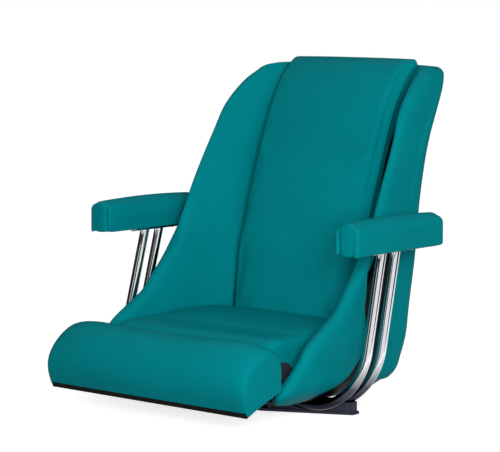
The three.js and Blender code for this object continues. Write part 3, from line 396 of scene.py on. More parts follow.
def bucket(z):
    """The bucket's half width and the depths of its parts at each of some heights."""
    rear = BUCKET_REAR * read_rear(z)
    edge = EDGE_FRONT + (EDGE_REAR - EDGE_FRONT) * read_edge(z)
    wrap = rear - BUCKET_REAR * read_wrap(z)
    return {
        "half": SEAT_HALF_WIDTH + BUCKET_SIDE * read_side(z), "rear": rear, "edge": edge, "wrap": wrap,
        "face": BUCKET_REAR * read_face(z), "slot": np.minimum(EDGE_PAD, EDGE_PAD_SHARE * (wrap - edge)),
    }


def bucket_at(points):
    return bucket(np.clip(points[:, 2], PAD_BOTTOM, PAD_TOP))


def bucket_level(z):
    """As bucket, with plain numbers for one height."""
    return {name: values[0] for name, values in bucket(z).items()}


LEVEL_Z = PAD_BOTTOM + (PAD_TOP - PAD_BOTTOM) * np.array(LEVEL_SHARES)
SHELL_COVERED = PAD_TOP - SHELL_BELOW_TOP + GAP
COVER_STEP = 0.3


# Soft pads made of sections along one axis

PAD_PUFF = 3
END_STEPS = 10
CAP_SHARES = (0.93, 0.85, 0.76, 0.65, 0.5, 0.34, 0.17)


def end_heights(end, roll, angles):
    """Heights of sections along a round end. The roll is below 0 at an upper end."""
    return end + roll * (1 - np.cos(np.radians(angles)))


def arc(centre, radius, start, end, steps):
    angles = np.radians(np.linspace(start, end, steps + 1))
    return [(centre[0] + radius * math.cos(a), centre[1] + radius * math.sin(a)) for a in angles]


def line(a, b, steps):
    return [(mix(a[0], b[0], i / steps), mix(a[1], b[1], i / steps)) for i in range(1, steps)]


def fullness(distance, run):
    """How full a section is at a distance from a pad's end, along a quarter of an ellipse."""
    return math.sqrt(max(0, 1 - (1 - min(distance / run, 1)) ** 2))


def pad_body(name, outline, low, high, runs, end_sizes, anchor, place, middle, dome=1.5, extra=()):
    """Sections along an axis that draw in round both ends, closed by slightly domed ends."""
    short, long = min(runs), max(runs)
    depths = [short * (1 - math.cos(math.pi / 2 * i / END_STEPS)) for i in range(END_STEPS + 1)]
    depths += [mix(short, long, i / END_STEPS) for i in range(1, END_STEPS + 1) if long > short]
    depths = sorted(depths + list(extra))
    inner = [mix(low + long, high - long, (i + 1) / (middle + 1)) for i in range(middle)]
    stations = [low + d for d in depths] + inner + [high - d for d in reversed(depths)]
    rings = []
    for station in stations:
        ring, fixed = np.asarray(outline(station), float), np.asarray(anchor(station), float)
        depth = min(station - low, high - station)
        size = np.array([mix(end, 1, fullness(depth, run)) for end, run in zip(end_sizes, runs)])
        rings.append((station, fixed + (ring - fixed) * size))
    first, last = rings[0], rings[-1]
    caps = []
    for (station, ring), sign in ((first, -1), (last, 1)):
        centre = ring.mean(axis=0)
        caps.append([(station + sign * dome * (1 - f * f), centre + (ring - centre) * f)
                     for f in CAP_SHARES])
    rings = list(reversed(caps[0])) + rings + caps[1]
    return ring_body(name, [[place(p, station) for p in ring] for station, ring in rings])


# Seat cushion

SEAT_REAR = BUCKET_REAR * FACE_SHARES[0] - BACK_CROWN - GAP
SEAT_ANCHOR_SHARE = 0.42
SEAT_ANCHOR = (mix(PIVOT_Y, SEAT_REAR, SEAT_ANCHOR_SHARE), SEAT_BOTTOM)
SEAT_LOW_RADIUS = 2
SEAT_TOP_SHARES = [0, 0.2, 0.45, 0.7, 0.88, 0.96]
SEAT_CROWN_SHARES = [0, 0.14, 0.85, 1, 0.8, 0.55]
SEAT_END_SIZES = (0.86, 0.84)
SEAT_SECTIONS = 30
SEAT_FIXED = 6
SEAT_FREE_RUN = 20
NOSE_FIXED = 20
NOSE_FREE_RUN = 60
NOSE_FREE_LEAST = 0.1


def seat_outline(x):
    crown = SEAT_CROWN * (1 - (x / SEAT_HALF_WIDTH) ** 2)
    run = SEAT_REAR - PIVOT_Y
    low, nose = SEAT_LOW_RADIUS, PIVOT_Y - NOSE_REACH
    along = np.linspace(0, SEAT_TOP_SHARES[-1], 25)[1:]
    rise = ease_through(SEAT_TOP_SHARES, SEAT_CROWN_SHARES, along)
    points = [(nose, SEAT_BOTTOM + low)]
    points += arc((PIVOT_Y, PIVOT_Z), NOSE_REACH, 178, 90, 18)
    points += [(PIVOT_Y + run * a, SEAT_TOP + crown * r) for a, r in zip(along, rise)]
    points += arc((SEAT_REAR - SEAT_REAR_RADIUS, SEAT_TOP - SEAT_REAR_RADIUS), SEAT_REAR_RADIUS, 80, 0, 5)
    points += line((SEAT_REAR, SEAT_TOP - SEAT_REAR_RADIUS), (SEAT_REAR, SEAT_BOTTOM + low), 6)
    points += arc((SEAT_REAR - low, SEAT_BOTTOM + low), low, 0, -90, 3)
    points += line((SEAT_REAR - low, SEAT_BOTTOM), (nose + low, SEAT_BOTTOM), 14)
    points += arc((nose + low, SEAT_BOTTOM + low), low, -90, -150, 2)
    return points


def make_seat_cushion():
    cushion = pad_body("seat_cushion", seat_outline, -SEAT_HALF_WIDTH, SEAT_HALF_WIDTH,
                       (SEAT_END_RUN, SEAT_END_RUN), SEAT_END_SIZES, lambda x: SEAT_ANCHOR,
                       lambda p, x: (x, p[0], p[1]), SEAT_SECTIONS)
    points = points_of(cushion)
    free = ramp(points[:, 2] - SEAT_BOTTOM - SEAT_FIXED, SEAT_FREE_RUN)
    free *= ramp(points[:, 1] - PIVOT_Y - NOSE_FIXED, NOSE_FREE_RUN, NOSE_FREE_LEAST)
    settle(cushion, free, PAD_PUFF)
    return cushion


# Back cushion

BACK_END_SIZES = (0.93, 0.5)
BACK_SECTIONS = 96
BACK_REAR_IN = 2
NECK_ROLL_DEPTH = 5
NECK_ROLL = [(0.1, 4), (0.75, 3), (1, 0)]
CREASE_FADE = 12
CREASE_HOLD = 0.9
CREASE_HOLD_HALF = 9
BACK_FREE_DEPTH = 34
BACK_FREE_RUN = 20
BACK_TOP_FIXED = 4
BACK_TOP_FREE_RUN = 12
DIMPLE_REACH = 12


def back_rear(z):
    return bucket_level(min(z, PAD_TOP))["rear"] - PANEL_THICKNESS - SHELL_WALL - 2 * GAP


def back_outline(z):
    """Half of the section from its rear over its neck and slanted side to the middle, then the other."""
    rear = back_rear(z)
    lean = BUCKET_REAR * (FACE_SHARES[-1] - FACE_SHARES[-2]) / (LEVEL_Z[-1] - LEVEL_Z[-2])
    face = bucket_level(min(z, PAD_TOP))["face"] + max(z - PAD_TOP, 0) * lean
    wide, r = BACK_HALF_WIDTH, BACK_EDGE_RADIUS
    front = wide - BACK_BEVEL
    flat = front - r
    crease = CREASE_DEPTH * math.exp(-((z - CREASE_HEIGHT) / CREASE_HALF) ** 2)
    side = face + min(BACK_BEVEL_DEPTH, BACK_BEVEL_SHARE * (rear - face))
    neck = wide - BACK_NECK * (1 - min(max((z - NECK_FADE) / NECK_FADE_RUN, 0), 1))
    half = [(neck, rear)]
    half += line((neck, rear), (neck, side + NECK_ROLL_DEPTH), 3)
    half += [(mix(neck, wide, share), side + depth) for share, depth in NECK_ROLL]
    half += line((wide, side), (front, face + r), 6)
    half += arc((flat, face + r), r, 0, -90, 8)
    half += [(x, face - BACK_CROWN * (1 - (x / flat) ** 2) + crease * min(1, (flat - x) / CREASE_FADE))
             for x in np.linspace(flat, 0, 15)[1:]]
    other = [(-x, y) for x, y in reversed(half[:-1])]
    rear_half = front - BACK_REAR_IN
    return half + other + line((-rear_half, rear), (rear_half, rear), 12)


def make_back_cushion():
    cushion = pad_body("back_cushion", back_outline, BACK_BOTTOM, BACK_TOP, (BACK_END_RUN, BACK_END_RUN),
                       BACK_END_SIZES, lambda z: (0, back_rear(z)), lambda p, z: (p[0], p[1], z),
                       BACK_SECTIONS)
    points = points_of(cushion)
    face = bucket_at(points)["face"]
    free = ramp(face + BACK_FREE_DEPTH - points[:, 1], BACK_FREE_RUN)
    free *= 1 - CREASE_HOLD * bell(points[:, 2] - CREASE_HEIGHT, CREASE_HOLD_HALF)
    free *= ramp(BACK_TOP - BACK_TOP_FIXED - points[:, 2], BACK_TOP_FREE_RUN)
    settle(cushion, free, PAD_PUFF)
    points = points_of(cushion)
    apart = np.hypot(points[:, 0] - DIMPLE_X, points[:, 2] - CREASE_HEIGHT)
    points[:, 1] += DIMPLE_DEPTH * bell(apart, DIMPLE_RADIUS) * (points[:, 1] < face + DIMPLE_REACH)
    set_points(cushion, points)
    return cushion


# Wings

WING_SECTIONS = 110
WING_END_ANGLES = [0, 25, 50, 75]
WING_FOOT_RUN = 16
WING_FOOT_TOP = 90
WING_FOOT_HEIGHT = 54
TOP_FADE = 90
ROUND_SHARE = 0.98


def wing_ring(k):
    """The wing's section at one of the CAD levels: its outer path, then its side towards the shell."""
    level, square = bucket_level(LEVEL_Z[k]), SQUARE_SHARES[k]
    half, rear, edge, wrap, face = (level[name] for name in ("half", "rear", "edge", "wrap", "face"))
    slot_end = edge + level["slot"]
    flap_end = wrap - GAP if FLAP_SHARES[k] == 1 else mix(edge, wrap, FLAP_SHARES[k])
    radius = min(NOSE_RADII[k], (half - WING_INNER) / NOSE_WIDTH_SHARE) if square else NOSE_RADII[k]
    shares = NOSE_SHARES if square else HIGH_NOSE_SHARES
    room = flap_end - edge
    nose = [(half - radius * across, edge + min(radius * back, NOSE_ROOM * back * room))
            for across, back in shares]
    low = k < len(LOW_JOIN_SHARES)
    if low:
        out = LOW_JOIN_OUT if k == len(LOW_JOIN_SHARES) - 1 else 0
        join = (WING_INNER + out, mix(edge, rear - BUCKET_CORNER, LOW_JOIN_SHARES[k]))
    else:
        slot = SLOT_SHARES[k]
        join = (JUNCTION_HALF_WIDTH + JUNCTION_FLARE * (1 - LEVEL_Z[k] / PAD_TOP) + SLOT_WIDTH * slot,
                face + CUSHION_PROUD + SLOT_DEPTH * slot)
    start, end = np.array(nose[-1]), np.array(join)
    squared = [np.array((WING_INNER, y)) for y in (mix(edge, join[1], SQUARE_BEND_SHARE), join[1])]
    controls = [mix(mix(start, end, t), q, square) for t, q in zip((1 / 3, 2 / 3), squared)]
    t = np.linspace(0, 1, 7)[1:, None]
    curve = ((1 - t) ** 3 * start + 3 * (1 - t) ** 2 * t * controls[0]
             + 3 * (1 - t) * t * t * controls[1] + t ** 3 * end)
    path = [(half, flap_end)] + nose + [tuple(p) for p in curve]
    depth = PANEL_THICKNESS + SHELL_WALL + 2 * GAP
    side_x = half - depth
    limit = max(join[1] + GAP, slot_end) if low else rear - depth
    corner = arc((half - BUCKET_CORNER, rear - BUCKET_CORNER), BUCKET_CORNER - depth, 90, 0, 3)
    corner = [(side_x, limit)] * 4 if low else corner
    back = [(join[0], limit)] + corner + [(side_x, slot_end), (half - PANEL_THICKNESS, slot_end),
                                          (half - PANEL_THICKNESS, flap_end)]
    return path, back


def make_wing():
    sections = [wing_ring(k) for k in range(len(LEVEL_SHARES))]
    heights = np.concatenate([
        end_heights(LEVEL_Z[0], WING_END, WING_END_ANGLES),
        np.linspace(LEVEL_Z[0] + WING_END, LEVEL_Z[-1] - WING_END, WING_SECTIONS),
        end_heights(LEVEL_Z[-1], -WING_END, WING_END_ANGLES),
        [SHELL_COVERED, SHELL_COVERED + COVER_STEP],
    ])
    heights.sort()
    paths = ease_through(LEVEL_Z, np.array([s[0] for s in sections]), heights)
    backs = ease_through(LEVEL_Z, np.array([s[1] for s in sections]), heights)
    # Above the shell's top edge the wing's side has no slot for the shell.
    above = heights > SHELL_COVERED + COVER_STEP / 2
    flap, inner = backs[above, 7, 1], backs[above, 5, 0]
    backs[above, 5, 1] = backs[above, 6, 1] = flap
    backs[above, 6, 0] = (inner + backs[above, 7, 0]) / 2
    fine = curve_through(paths, [10] + [5] * 4 + [4] * 6)
    behind = np.concatenate([fine[:, -1:], backs, fine[:, :1]], axis=1)
    rest = straight_through(behind, [3, 3, 2, 2, 2, 3, 2, 3, 2])[:, :-1]
    rings = np.concatenate([fine, rest], axis=1)
    solid = []
    for z, ring in zip(heights, rings):
        near = min(z - heights[0], heights[-1] - z)
        inset = WING_END * (1 - fullness(near, WING_END))
        solid.append([(x, y, z) for x, y in inset_ring(ring, inset)])
    wing = ring_body("wing_pad_left", solid, ends="fill")
    points = points_of(wing)
    edge = bucket_at(points)["edge"]
    nose = np.exp(-np.clip(points[:, 1] - edge, 0, None) / WING_FOOT_RUN)
    points[:, 2] += WING_FOOT_LIFT * nose * ramp(WING_FOOT_TOP - points[:, 2], WING_FOOT_HEIGHT) ** 2
    drop = FRONT_ROUND * rounded(edge + FRONT_ROUND_RUN - points[:, 1], FRONT_ROUND_RUN)
    drop *= near_top(points)
    points = round_top(points)
    points[:, 2] -= drop
    set_points(wing, points)
    return wing


def rounded(distance, run):
    """How far a rounded edge has dropped along its run, from 0 to nearly 1."""
    return 1 - np.sqrt(1 - ramp(distance, run) ** 2 * ROUND_SHARE)


def near_top(points):
    return ramp(points[:, 2] - (PAD_TOP - TOP_FADE), TOP_FADE) ** 2


def round_top(points):
    """Rounds the bucket's top outer corners and lifts its top a little towards the back cushion."""
    half, out = bucket_at(points)["half"], abs(points[:, 0])
    lift = TOP_CROWN * ramp(half - out, TOP_CROWN_RUN)
    drop = TOP_ROUND * rounded(out - (half - TOP_ROUND_RUN), TOP_ROUND_RUN)
    points[:, 2] += (lift - drop) * near_top(points)
    return points


# Rear panel and shell

PANEL_SECTIONS = 92
PANEL_END_HALF = 0.8
PANEL_TUCK_RUN = 14
SHELL_SECTIONS = 96
SHELL_FLOOR_SHARES = (0, 0.3, 0.6, 0.85)
SHELL_KNEE_SHARES = (0, 0.12, 0.35, 0.65, 0.88, 1)


def u_line(z, depth, front):
    """A U round the bucket at a height and a depth under its outside, from one front end to the other."""
    level = bucket_level(z)
    half, rear = level["half"], level["rear"]
    x, corner_x, corner_y = half - depth, half - BUCKET_CORNER, rear - BUCKET_CORNER
    one = [(x, front)] + line((x, front), (x, corner_y), 5)
    one += arc((corner_x, corner_y), BUCKET_CORNER - depth, 0, 90, 12)
    back = line((corner_x, rear - depth), (-corner_x, rear - depth), 20)
    return one + back + [(-x, y) for x, y in reversed(one)]


def make_rear_panel():
    """The padded panel behind the shell, with its board. Its top rolls over the shell's top edge."""
    heights = np.concatenate([
        end_heights(REAR_PANEL_BOTTOM, PANEL_ROLL, range(0, 91, 18)),
        np.linspace(REAR_PANEL_BOTTOM + PANEL_ROLL, PAD_TOP - TOP_ROLL, PANEL_SECTIONS)[1:-1],
        end_heights(PAD_TOP, -TOP_ROLL, range(0, 91, 15)),
        [SHELL_COVERED, SHELL_COVERED + COVER_STEP],
    ])
    rings = []
    for z in sorted(heights):
        covered = z > SHELL_COVERED + COVER_STEP / 2
        depth = PANEL_THICKNESS + (SHELL_WALL + GAP if covered else -GAP)
        roll = TOP_ROLL if covered else PANEL_ROLL
        near = min(z - REAR_PANEL_BOTTOM, PAD_TOP - z)
        narrow = (depth / 2 - PANEL_END_HALF) * (1 - fullness(near, roll))
        tuck = PANEL_TUCK * math.exp(-near / PANEL_TUCK_RUN) * min(1, near / roll)
        front = bucket_level(z)["wrap"] + PANEL_ROLL
        outer_depth = (2 * narrow if covered else narrow) + tuck
        inner_depth = depth if covered else depth - narrow
        outer = u_line(z, outer_depth, front)
        inner = u_line(z, inner_depth, front)
        half_thick = (inner_depth - outer_depth) / 2
        x = outer[0][0] - half_thick
        nose = [(px, front + (py - front) * PANEL_ROLL / half_thick)
                for px, py in arc((x, front), half_thick, -180, 0, 6)[1:-1]]
        other = [(-px, py) for px, py in reversed(nose)]
        rings.append([(px, py, z) for px, py in nose + outer + other + list(reversed(inner))])
    panel = ring_body("rear_panel", rings, ends="fill")
    set_points(panel, round_top(points_of(panel)))
    return panel


def make_shell():
    """The shell's outside as rows from its floor's middle to its top edge, and its inside behind them."""
    depth = PANEL_THICKNESS + GAP
    first = u_line(PAD_BOTTOM, depth, shell_front(PAD_BOTTOM))
    width, rear = first[0][0], max(y for _, y in first)
    floor = [(x * SHELL_FLOOR_HALF_WIDTH / width, y * SHELL_FLOOR_REAR / rear if y > 0 else y)
             for x, y in first]
    rows = [[(x * share, y, SHELL_BOTTOM) for x, y in floor] for share in SHELL_FLOOR_SHARES]
    for share in SHELL_KNEE_SHARES:
        out, ease = math.sqrt(share), share * share * (3 - 2 * share)
        rows.append([(mix(a[0], b[0], out), mix(a[1], b[1], out), mix(SHELL_BOTTOM, PAD_BOTTOM, ease))
                     for a, b in zip(floor, first)])
    for z in np.linspace(PAD_BOTTOM, PAD_TOP - SHELL_BELOW_TOP, SHELL_SECTIONS)[1:]:
        rows.append(round_top(np.array([(x, y, z) for x, y in u_line(z, depth, shell_front(z))])))
    outer = np.array(rows, float)
    normals = surface_normals(outer)
    inner = outer - normals * SHELL_WALL
    count, columns = outer.shape[:2]
    vertices = np.concatenate([outer.reshape(-1, 3), inner.reshape(-1, 3)])
    grid = [(r * columns + c, r * columns + c + 1, (r + 1) * columns + c + 1, (r + 1) * columns + c)
            for r in range(count - 1) for c in range(columns - 1)]
    other = count * columns
    faces = grid + [tuple(other + i for i in reversed(face)) for face in grid]
    around = [r * columns for r in range(count)] + [(count - 1) * columns + c for c in range(1, columns)]
    around += [r * columns + columns - 1 for r in range(count - 2, -1, -1)]
    around += [c for c in range(columns - 2, 0, -1)]
    for a, b in zip(around, around[1:] + around[:1]):
        faces.append((a, b, other + b, other + a))
    return make_object("shell", vertices, outward(vertices, faces))


def surface_normals(rows):
    """Unit normals of a grid of points. Its rows run from the left round the rear, so they point out."""
    along = np.gradient(rows, axis=1)
    for row in range(len(rows)):
        flat = np.linalg.norm(along[row], axis=1) < 1e-6
        along[row][flat] = along[min(row + 1, len(rows) - 1)][flat]
    up = np.gradient(rows, axis=0)
    normals = np.cross(along, up)
    size = np.linalg.norm(normals, axis=2, keepdims=True)
    return normals / np.where(size > 1e-9, size, 1)


def shell_front(z):
    level = bucket_level(z)
    return level["edge"] + level["slot"] + GAP


# Bolster and arm pads

BOLSTER_SHARES = [(0.02, 0.26), (-0.012, 0.44), (0.03, 0.61), (0.15, 0.77), (0.33, 0.905), (0.52, 0.98),
                  (0.68, 0.99), (0.83, 0.93), (0.93, 0.81), (0.985, 0.65), (1, 0.52)]
BOLSTER_FOOT_SHARE = 0.1
BOLSTER_HEEL_IN = 1
BOLSTER_ANCHOR_SHARE = 0.58
BOLSTER_DIP_HALF = 110
BOLSTER_SECTIONS = 44
BOLSTER_FIXED = 4
BOLSTER_FREE_RUN = 18
SKIRT_CLEARANCE = 0.5
SKIRT_STEPS = (-0.05, 0.15)
COS_SLOPE = math.cos(BOLSTER_SLOPE)
SIN_SLOPE = math.sin(BOLSTER_SLOPE)


def bolster_floor(y, height):
    """The height, at a depth y, of a line that runs so far above the board's underside."""
    rise = (y - BOLSTER_FLOOR_FRONT) * math.tan(BOLSTER_SLOPE)
    return BOLSTER_FRONT_BOTTOM + rise + height / COS_SLOPE


def bolster_section():
    """The roll's section, as distances along its board and square to it from the section's fixed point."""
    low, depth = BOLSTER_FRONT_BOTTOM, BOLSTER_REAR - BOLSTER_FRONT
    height = BOLSTER_TOP - low
    lift = BOLSTER_BOARD + GAP
    front_y, rear_y = BOLSTER_FRONT + depth * BOLSTER_FOOT_SHARE, BOLSTER_REAR - BOLSTER_HEEL_IN
    curve = [(BOLSTER_FRONT + depth * a, low + height * b) for a, b in BOLSTER_SHARES]
    foot = (front_y, bolster_floor(front_y, lift - BOLSTER_LIP))
    heel = (rear_y, bolster_floor(rear_y, lift))
    top = curve_through([foot] + curve + [heel], [4] * 11 + [5])
    inner_y = front_y + BOLSTER_LIP_WIDTH
    ring = [tuple(p) for p in top] + line(heel, (inner_y, bolster_floor(inner_y, lift)), 9)
    ring.append((inner_y, bolster_floor(inner_y, lift - BOLSTER_LIP)))
    across = [(y - BOLSTER_ANCHOR[0], z - BOLSTER_ANCHOR[1]) for y, z in ring]
    return [(y * COS_SLOPE + z * SIN_SLOPE, z * COS_SLOPE - y * SIN_SLOPE) for y, z in across]


BOLSTER_ANCHOR_Y = mix(BOLSTER_FRONT, BOLSTER_REAR, BOLSTER_ANCHOR_SHARE)
BOLSTER_ANCHOR = (BOLSTER_ANCHOR_Y, bolster_floor(BOLSTER_ANCHOR_Y, BOLSTER_BOARD + GAP))


def make_bolster():
    section = bolster_section()
    low, high = min(u for u, v in section), max(u for u, v in section)
    top = max(v for u, v in section)

    def outline(x):
        dip = 1 - BOLSTER_DIP / top * math.exp(-((x / BOLSTER_DIP_HALF) ** 2))
        skirt = abs(x) > BOLSTER_HALF_WIDTH - SKIRT_THICKNESS
        made = []
        for u, v in section:
            if v > 0.01:
                made.append((u, v * dip))
            elif skirt:
                share = (u - low) / (high - low)
                made.append((u, -BOLSTER_BOARD - SKIRT_CLEARANCE - SKIRT_DROP * share * share))
            else:
                made.append((u, v))
        return made

    def place(p, x):
        return (x, BOLSTER_ANCHOR[0] + p[0] * COS_SLOPE - p[1] * SIN_SLOPE,
                BOLSTER_ANCHOR[1] + p[0] * SIN_SLOPE + p[1] * COS_SLOPE)

    pad = pad_body("bolster_pad", outline, -BOLSTER_HALF_WIDTH, BOLSTER_HALF_WIDTH, BOLSTER_END_RUNS,
                   BOLSTER_END_SIZES, lambda x: (0, 0), place, BOLSTER_SECTIONS,
                   extra=[SKIRT_THICKNESS + step for step in SKIRT_STEPS])
    points = points_of(pad)
    over = points[:, 2] - bolster_floor(points[:, 1], BOLSTER_BOARD + GAP)
    settle(pad, ramp(over - BOLSTER_FIXED, BOLSTER_FREE_RUN), PAD_PUFF)
    return pad


ARM_INNER = ARM_HALF_WIDTH - ARM_PAD_WIDTH
ARM_LOW_RADIUS = 3
ARM_SECTIONS = 40
ARM_FIXED = 5
ARM_FREE_RUN = 14
ARM_PUFF = 2.5
FOLD_RUN = 9
FOLD_TOP_SHARE = 1.15
FOLD_FADE_POWER = 0.7
REAR_FOLD_SHARE = 0.45
PLEAT_IN = 8
PLEAT_DEPTH = 5.5
PLEAT_WIDTH = 4.2
PLEAT_LIFT = 6
LIP_WIDTH = 5
LIP_HEIGHT = 1.2
DENT_IN = 13
DENT_WIDTH = 4
DENT_DEPTH = 2
DENT_LIFT = 2.5
POINT_IN = 5
POINT_WIDTH = 6
POINT_DROP = 1.5
REAR_LIFT = 5
REAR_LIFT_RUN = 4
LOW_FADE = 9
DENT_FADE = 1.3
POINT_FADE = 6
REAR_LIFT_FADE = 12


def arm_section():
    outer, inner, low_r = ARM_HALF_WIDTH, ARM_INNER, ARM_LOW_RADIUS
    low, high, r = ARM_PAD_BOTTOM, ARM_PAD_BOTTOM + ARM_PAD_HEIGHT, ARM_EDGE_RADIUS
    middle = (inner + outer) / 2
    right = arc((outer - low_r, low + low_r), low_r, -90, 0, 3)
    right += line((outer, low + low_r), (outer, high - r), 12) + arc((outer - r, high - r), r, 0, 90, 6)
    crown = [(x, high + ARM_CROWN * (1 - ((x - middle) / (outer - r - middle)) ** 2))
             for x in np.linspace(outer - r, inner + r, 13)[1:-1]]
    left = [(2 * middle - x, z) for x, z in reversed(right)]
    return right + crown + left + line((inner + low_r, low), (outer - low_r, low), 14)


def make_arm_pad():
    section = arm_section()
    anchor = (ARM_HALF_WIDTH - ARM_PAD_WIDTH / 2, ARM_PAD_BOTTOM)

    def outline(y):
        from_middle = (y - ARM_PAD_FRONT) / ARM_PAD_LENGTH * 2 - 1
        drop = ARM_ARCH * from_middle ** 2 / ARM_PAD_HEIGHT
        return [(x, z - (z - ARM_PAD_BOTTOM) * drop) for x, z in section]

    pad = pad_body("arm_pad_left", outline, ARM_PAD_FRONT, ARM_PAD_FRONT + ARM_PAD_LENGTH, ARM_END_RUNS,
                   ARM_END_SIZES, lambda y: anchor, lambda p, y: (p[0], y, p[1]), ARM_SECTIONS)
    settle(pad, ramp(points_of(pad)[:, 2] - ARM_PAD_BOTTOM - ARM_FIXED, ARM_FREE_RUN), ARM_PUFF)
    fold_corners(pad)
    return pad


def fold_corners(pad):
    """The covering's folds at the pad's ends: pleats by the corners, and a gathered point in front."""
    points = points_of(pad)
    x, y, z = points.T.copy()
    height = (z - ARM_PAD_BOTTOM) / ARM_PAD_HEIGHT
    fade = np.clip(FOLD_TOP_SHARE - height, 0, 1) ** FOLD_FADE_POWER
    low = np.exp(-height * LOW_FADE)
    for end, sign, size in ((ARM_PAD_FRONT, 1, 1), (ARM_PAD_FRONT + ARM_PAD_LENGTH, -1, REAR_FOLD_SHARE)):
        depth = np.clip((y - end) * sign, 0, None)
        near = np.exp(-depth / FOLD_RUN) * size
        pleat = bell(x - ARM_INNER - PLEAT_IN, PLEAT_WIDTH) * near * fade
        points[:, 1] += sign * PLEAT_DEPTH * pleat
        points[:, 2] += PLEAT_LIFT * pleat * low
        points[:, 1] -= sign * LIP_HEIGHT * bell(x - ARM_INNER, LIP_WIDTH) * near * fade
        dent = bell(x - ARM_HALF_WIDTH + DENT_IN, DENT_WIDTH) * near * np.clip(1 - DENT_FADE * height, 0, 1)
        points[:, 1] += sign * DENT_DEPTH * dent
        points[:, 2] += DENT_LIFT * dent * low
        if sign > 0:
            point = bell(x - ARM_HALF_WIDTH + POINT_IN, POINT_WIDTH) * near
            points[:, 2] -= POINT_DROP * point * np.exp(-height * POINT_FADE)
        else:
            points[:, 2] += REAR_LIFT * np.exp(-depth / REAR_LIFT_RUN) * np.exp(-height * REAR_LIFT_FADE)
    set_points(pad, points)


# Tubes

def hoop_line(front_y):
    centre = HOOP_HALF_WIDTH - HOOP_BEND
    bend = arc((centre, HOOP_BOTTOM + HOOP_BEND), HOOP_BEND, 0, -90, 30)
    leg_top = ARM_PAD_BOTTOM - ARM_PLATE_THICKNESS - 2 * GAP
    half = [(mix(HOOP_TOP_HALF_WIDTH, HOOP_HALF_WIDTH, t), mix(leg_top, HOOP_BOTTOM + HOOP_BEND, t))
            for t in np.linspace(0, 1, 8)[:-1]] + bend
    both = half + line(half[-1], (-half[-1][0], half[-1][1]), 10) + [(-x, z) for x, z in reversed(half)]
    return [(x, front_y + HOOP_LEAN * (z - HOOP_BOTTOM), z) for x, z in both]


def tube(name, path, radius, wall, sides=40):
    path = np.array(path, float)
    tangent = np.gradient(path, axis=0)
    tangent /= np.linalg.norm(tangent, axis=1, keepdims=True)
    plane = np.cross(tangent[0], tangent[len(tangent) // 2])
    plane /= np.linalg.norm(plane)
    angles = np.linspace(0, 2 * math.pi, sides, endpoint=False)

    def rings(r):
        made = []
        for p, t in zip(path, tangent):
            side = np.cross(t, plane)
            made.append([p + r * (math.cos(a) * side + math.sin(a) * plane) for a in angles])
        return made

    outer, inner = rings(radius), rings(radius - wall)
    loops = outer + list(reversed(inner))
    vertices = [p for ring in loops for p in ring]
    return make_object(name, vertices, outward(vertices, ring_faces(len(loops), sides, closed=True)))


# Materials. Every texture works in object space, so it needs no UVs.

UNEVEN_MM = 6


def rgb(hex_colour):
    """A written sRGB colour as the linear colour that a shader takes."""
    parts = [int(hex_colour[i : i + 2], 16) / 255 for i in (0, 2, 4)]
    return [c / 12.92 if c <= 0.04045 else ((c + 0.055) / 1.055) ** 2.4 for c in parts] + [1]


def add_node(tree, kind, links=(), **values):
    """A shader node with some inputs set to values and others linked to sockets."""
    node = tree.nodes.new("ShaderNode" + kind)
    for socket, value in values.items():
        node.inputs[socket.replace("_", " ")].default_value = value
    for socket, source in links:
        tree.links.new(source, node.inputs[socket])
    return node


def new_material(name):
    material = bpy.data.materials.new(name)
    material.use_nodes = True
    return material


